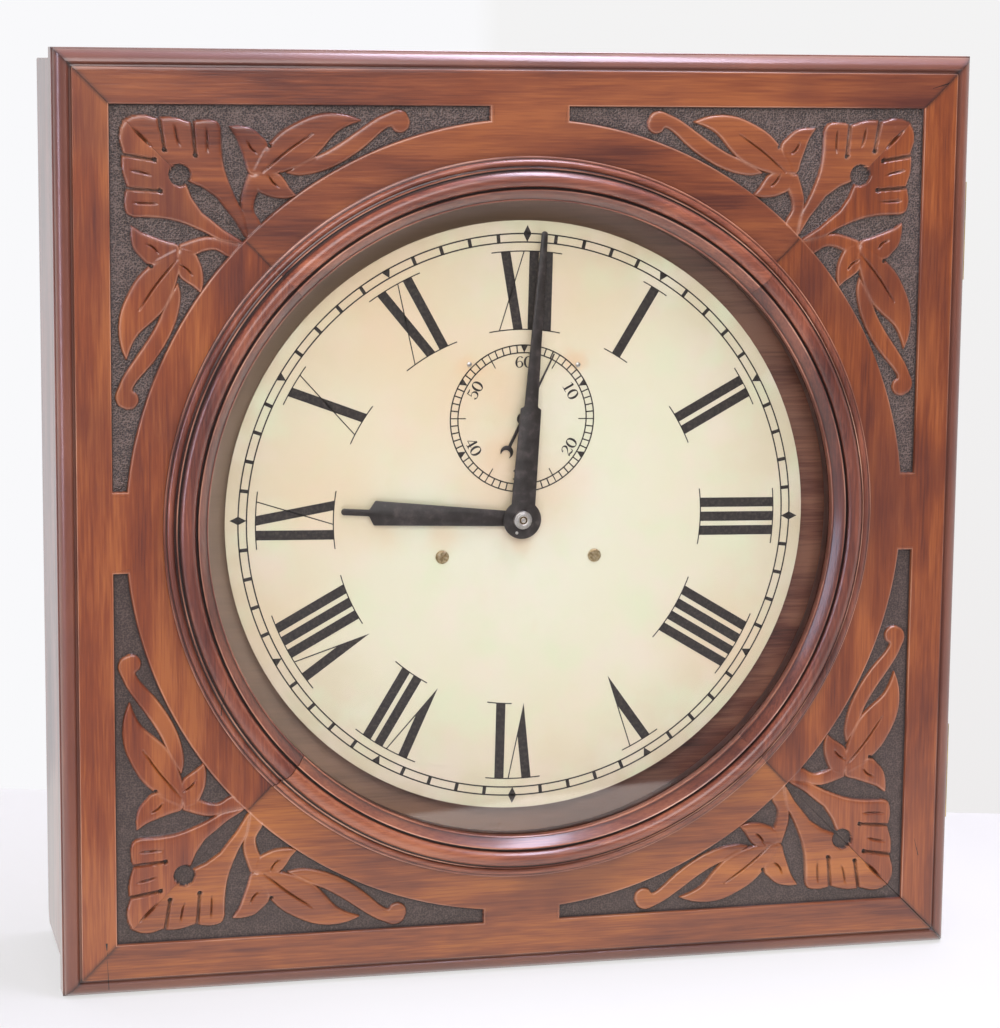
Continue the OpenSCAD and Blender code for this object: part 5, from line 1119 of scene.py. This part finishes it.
# Bands along smooth lines, each with its own width at each point
def penStrokes(name, strokes):
    points, quads, rest, start = [], [], [], 0
    for line, place in strokes:
        line = np.array(line, float)
        count = 4 * (len(line) - 1) + 1 if len(line) > 2 else len(line)
        middle = np.array(smoothLine(line[:, :2], 4) + [line[-1, :2]]) if len(line) > 2 else line[:, :2]
        width = np.interp(np.linspace(0, len(line) - 1, count), np.arange(len(line)), line[:, 2])
        run = np.gradient(middle, axis=0)
        run /= np.linalg.norm(run, axis=1)[:, None]
        half = np.stack([-run[:, 1], run[:, 0]], 1) * width[:, None] / 2
        level = printing["level"]
        loops = []
        for p, h in zip(middle, half):
            (ax, az), (bx, bz) = (onTurnedDial(*place(*corner)) for corner in (p + h, p - h))
            loops += [(ax, level - printing["ink"], az), (bx, level - printing["ink"], bz), (bx, level, bz),
                      (ax, level, az)]
        faces, ends = loopFaces(count, 4)
        points += loops
        quads += (faces + start).tolist()
        rest += [[i + start for i in end] for end in ends]
        start += len(loops)
    return addPiece(name, points, (quads, rest), paint["ink"], "case")


def figurePlace(k, angle, inward):
    a, turn = math.radians(angle), angle if inward else angle + 180
    tall, out = printing["figureHeight"], printing["figureRadius"]

    def place(x, z):
        x, z = around([(x * tall * printing["figureWiden"] + (k - 0.5) * printing["figureStep"], (z - 0.5) * tall)],
                      turn)[0]
        return x + out * math.sin(a), z + out * math.cos(a) + printing["secondsHeight"]
    return place


penStrokes("secondsFigures", [
    (line, figurePlace(k, angle, inward))
    for number, angle, inward in (("60", 0, True), ("10", 60, True), ("20", 120, False), ("30", 180, False),
                                  ("40", 240, False), ("50", 300, True))
    for k, figure in enumerate(number) for line in figures[figure]])

print("nut, screws and windings")
# Turned nut with a stepped face
nut = [(2.42, -137.0), (5.3, -137.0), (5.5, -137.2), (5.5, -138.6), (5.25, -139.05), (4.3, -139.2), (4.25, -139.5),
       (4.0, -139.9), (3.7, -140.0), (2.75, -140.0), (2.5, -139.85), (2.35, -139.55), (1.6, -139.55), (1.45, -139.85),
       (1.2, -139.95), (0.9, -139.9), (0.7, -139.7), (0.1, -139.65), (0.1, -139.62), (2.42, -139.5)]
addTurned("handNutTurned", nut, 64, (0, 0, 0), metal["nickel"], "minute_work",
          ["hand_nut"])
hubPin = [(0.05, -136.9), (0.95, -136.9), (0.95, -137.15), (0.7, -137.45), (0.3, -137.6), (0.05, -137.62)]
addTurned("hubPin", hubPin, 24, (-3.4, 0, -7.8), metal["nickel"], "minute_work")


# Slotted round-head screws on points, heads towards -Y before each point's own turn
def screwTree():
    tree, given = groupTree("slottedScrews", {
        "Places": "Geometry", "Head Radius": "Float", "Head Height": "Float", "Shank Radius": "Float",
        "Shank Length": "Float", "Slot Width": "Float", "Slot Depth": "Float", "Metal": "Material"}, "Screws")

    def scaled(value, times):
        return calc(tree, "MULTIPLY", value, times)

    def lifted(shape, height):
        return wire(tree, "GeometryNodeTransform", {"Geometry": shape, "Translation": combine(tree, z=height)})

    half = scaled(given["Head Height"], 0.5)
    base = wire(tree, "GeometryNodeMeshCylinder", {"Vertices": 40, "Radius": given["Head Radius"], "Depth": half})
    dome = wire(tree, "GeometryNodeMeshCone", {"Vertices": 40, "Radius Top": scaled(given["Head Radius"], 0.74),
                                               "Radius Bottom": given["Head Radius"], "Depth": half})
    head = wire(tree, "GeometryNodeMeshBoolean", {"Mesh 2": [lifted(base, scaled(half, 0.5)), lifted(dome, half)]},
                operation="UNION", solver="EXACT")
    size = combine(tree, scaled(given["Head Radius"], 3.0), given["Slot Width"], scaled(given["Slot Depth"], 2.0))
    slot = lifted(wire(tree, "GeometryNodeMeshCube", {"Size": size}), given["Head Height"])
    cut = wire(tree, "GeometryNodeMeshBoolean", {"Mesh 1": head, "Mesh 2": slot}, operation="DIFFERENCE",
               solver="EXACT")
    shank = wire(tree, "GeometryNodeMeshCylinder", {"Vertices": 20, "Radius": given["Shank Radius"],
                                                    "Depth": given["Shank Length"]})
    shank = lifted(shank, scaled(given["Shank Length"], -0.5))
    whole = wire(tree, "GeometryNodeJoinGeometry", {0: [cut, shank]})
    soft = wire(tree, "GeometryNodeSetShadeSmooth", {"Geometry": whole, "Shade Smooth": True})
    turn = wire(tree, "GeometryNodeInputNamedAttribute", {"Name": "turn"}, data_type="FLOAT_VECTOR")
    placed = wire(tree, "GeometryNodeInstanceOnPoints",
                  {"Points": given["Places"], "Instance": soft, "Rotation": turn})
    return finishTree(tree, placed, given["Metal"])


screwMaker = screwTree()
screwSlot = {"width": 1.1, "depth": 0.8}
front, rear = math.pi / 2, -math.pi / 2
dialPlaces = [(*onTurnedDial(s * 47, -23), -130.0, front, a) for s, a in ((-1, 40), (1, -28))]
bracketPlaces = [(*onTurnedDial(s * x, z), -16.0, front, 55) for s in (-1, 1) for x, z in ((59.5, -70), (44.5, 8))]
pillarFront = [(*onTurnedDial(s * 52, z), -121.0, front, 20) for s in (-1, 1) for z in (88, -78)]
pillarBack = [(*onTurnedDial(s * 52, z), y, rear, 0) for s in (-1, 1) for z, y in ((88, -78.0), (-78, -73.0))]
# Places, head radius and height, shank radius and length in mm, finish, slot, and the node that the screws replace
screwSets = {
    "dialScrews": (dialPlaces, (4.0, 1.5, 1.5, 8.0), "screwBrass", "bright_brass", ["dial_screws"]),
    "matScrews": ([(s * 236, t * 234, -119.0, front, 30) for s in (-1, 1) for t in (-1, 1)], (4.0, 1.5, 1.8, 26.0),
                  "screwBrass", "bright_brass", ["mat_screws"]),
    "bracketScrews": (bracketPlaces, (4.0, 1.5, 1.5, 13.5), "brightBrass", "bright_brass", ["bracket_screws"]),
    "hangerScrews": ([(s * 31, 214 + t * 14, -1.0, rear, 90) for s in (-1, 1) for t in (-1, 1)], (2.95, 1.0, 1.5, 7.5),
                     "brightBrass", "bright_brass", ["hanger_screws"]),
    "pillarScrews": (pillarFront + pillarBack, (3.0, 1.5, 1.5, 14.0), "steel", "steel", ["pillar_screws"]),
    "hookScrew": ([(-200, 273.6, -80.0, 0.0, 0)], (4.0, 1.5, 2.0, 17.0), "brightBrass", "bright_brass",
                  ["hook_screw"]),
}
for name, (places, (headR, headH, shankR, shankL), finish, slotName, stands) in screwSets.items():
    base = pointMesh(name, [(x * mm, y * mm, z * mm) for x, z, y, _, _ in places])
    turns = base.attributes.new("turn", "FLOAT_VECTOR", "POINT")
    for i, (_, _, _, lean, angle) in enumerate(places):
        spin = Matrix.Rotation(lean, 3, "X") @ Matrix.Rotation(math.radians(angle), 3, "Z")
        turns.data[i].vector = spin.to_euler()
    grown(name, screwMaker, base, {"Head Radius": headR * mm, "Head Height": headH * mm, "Shank Radius": shankR * mm,
                                   "Shank Length": shankL * mm, "Slot Width": screwSlot["width"] * mm,
                                   "Slot Depth": screwSlot["depth"] * mm, "Metal": metal[finish]}, metal[finish],
                                   "case", stands, sharp=30)

pinPlace = {"across": 33.3, "height": 92.3}
pin = [(0.01, -130.0), (1.5, -130.0), (1.55, -130.2), (1.4, -130.6), (0.9, -130.85), (0.01, -130.9)]
for name, side in (("Left", -1), ("Right", 1)):
    x, z = onTurnedDial(side * pinPlace["across"], pinPlace["height"])
    addTurned("dialPin" + name, pin, 28, (x, 0, z), metal["nickel"], "case")

coil = {"reach": 11.2, "wire": 0.45, "low": -79.2, "high": -56.8, "across": 14.0, "level": -100.0, "foot": -80}


# A helix of wire on each place
def windingTree():
    tree, given = groupTree("coilWindings", {
        "Places": "Geometry", "Turns": "Float", "Radius": "Float", "Length": "Float", "Wire Radius": "Float",
        "Cover": "Material"}, "Windings")
    helix = wire(tree, "GeometryNodeCurveSpiral", {
        "Resolution": 40, "Rotations": given["Turns"], "Start Radius": given["Radius"], "End Radius": given["Radius"],
        "Height": given["Length"]})
    profile = wire(tree, "GeometryNodeCurvePrimitiveCircle", {"Resolution": 8, "Radius": given["Wire Radius"]})
    wound = wire(tree, "GeometryNodeCurveToMesh", {"Curve": helix, "Profile Curve": profile, "Fill Caps": True})
    placed = wire(tree, "GeometryNodeInstanceOnPoints", {"Points": given["Places"], "Instance": wound})
    return finishTree(tree, placed, given["Cover"])


coilPlaces = [onTurnedDial(s * coil["across"], coil["low"]) for s in (-1, 1)]
length = coil["high"] - coil["low"]
grown("coilWindings", windingTree(),
      pointMesh("coilPlaces", [(x * mm, coil["level"] * mm, z * mm) for x, z in coilPlaces]),
      {"Turns": length / (2 * coil["wire"]), "Radius": (coil["reach"] - 1.1 - coil["wire"]) * mm,
       "Length": length * mm, "Wire Radius": coil["wire"] * mm, "Cover": paint["coilWire"]}, paint["coilWire"], "case",
       ["magnet_coils"])
spool = [(5.1, 0), (11.3, 0), (11.5, 0.2), (11.5, 1.3), (11.3, 1.5), (9.9, 1.5), (9.9, 22.5), (11.3, 22.5),
         (11.5, 22.7), (11.5, 23.8), (11.3, 24), (5.1, 24)]
for name, side in (("Left", -1), ("Right", 1)):
    x, z = onTurnedDial(side * coil["across"], coil["foot"])
    addTurned("coilSpool" + name, spool, 48, (x, coil["level"], z), paint["fibre"], "case", axis="z")

print("pendulum bob and dry cells")
pendulum = {"pivot": 82, "bobDrop": 248, "level": -66}
pendulumX, pendulumZ = onTurnedDial(0, pendulum["pivot"])
bulge = [(2.6, -9.0)] + [(38.0 * math.sin(math.radians(a)), -2.0 - 7.0 * math.cos(math.radians(a)) ** 1.1)
                         for a in range(8, 90, 8)]
bulge += [(38.0, -1.6), (38.0, 1.6)] + [(r, -h) for r, h in bulge[:0:-1]] + [(2.6, 9.0)]
addTurned("pendulumBobTurned", [(r, -h) for r, h in bulge], 96,
          (pendulumX, pendulum["level"], pendulumZ - pendulum["bobDrop"]), metal["brightBrass"], "bob",
          ["pendulum_bob"])
cell = {"across": 150.0, "level": -60.0, "stand": -254.0, "postInwards": 24}
jacket = [(0.5, 0), (32.0, 0), (32.7, 0.3), (33.0, 1.2), (33.0, 146.5), (32.7, 147.6), (32.0, 148.0), (30.9, 148.0),
          (30.9, 146), (0.5, 146)]
pitch = [(0.5, 145), (30.8, 145), (30.8, 151.2), (30.0, 151.8), (13.5, 152.0), (12.2, 152.5), (12.0, 154.8),
         (11.5, 155.0), (0.5, 155.0)]
knob = [(0.3, 154), (3.0, 154), (3.0, 157.0), (5.2, 157.0), (5.5, 157.3), (5.5, 160.7), (5.2, 161.0), (3.0, 161.0),
        (3.0, 167.4), (2.5, 168.0), (0.3, 168.0)]
zincPost = [(0.3, 147), (3.0, 147), (3.0, 157.4), (2.5, 158.0), (0.3, 158.0)]
# Parts of one cell: section, material, slot, and whether the part stands off the middle
cellParts = {"Jacket": (jacket, paint["jacket"], "cell_jacket", 0), "Pitch": (pitch, paint["pitch"], "cell_jacket", 0),
             "Knob": (knob, metal["brightBrass"], "bright_brass", 0),
             "Post": (zincPost, metal["brightBrass"], "bright_brass", 1)}
for name, side, node in (("Left", -1, "dry_cell_left"), ("Right", 1, "dry_cell_right")):
    for part, (profile, material, slot, isOff) in cellParts.items():
        middle = (side * (cell["across"] - isOff * cell["postInwards"]), cell["level"], cell["stand"])
        addTurned("dryCell" + part + name, profile, 64, middle, material, "case",
                  [node] if part == "Jacket" else [], "z")

print("pieces made")
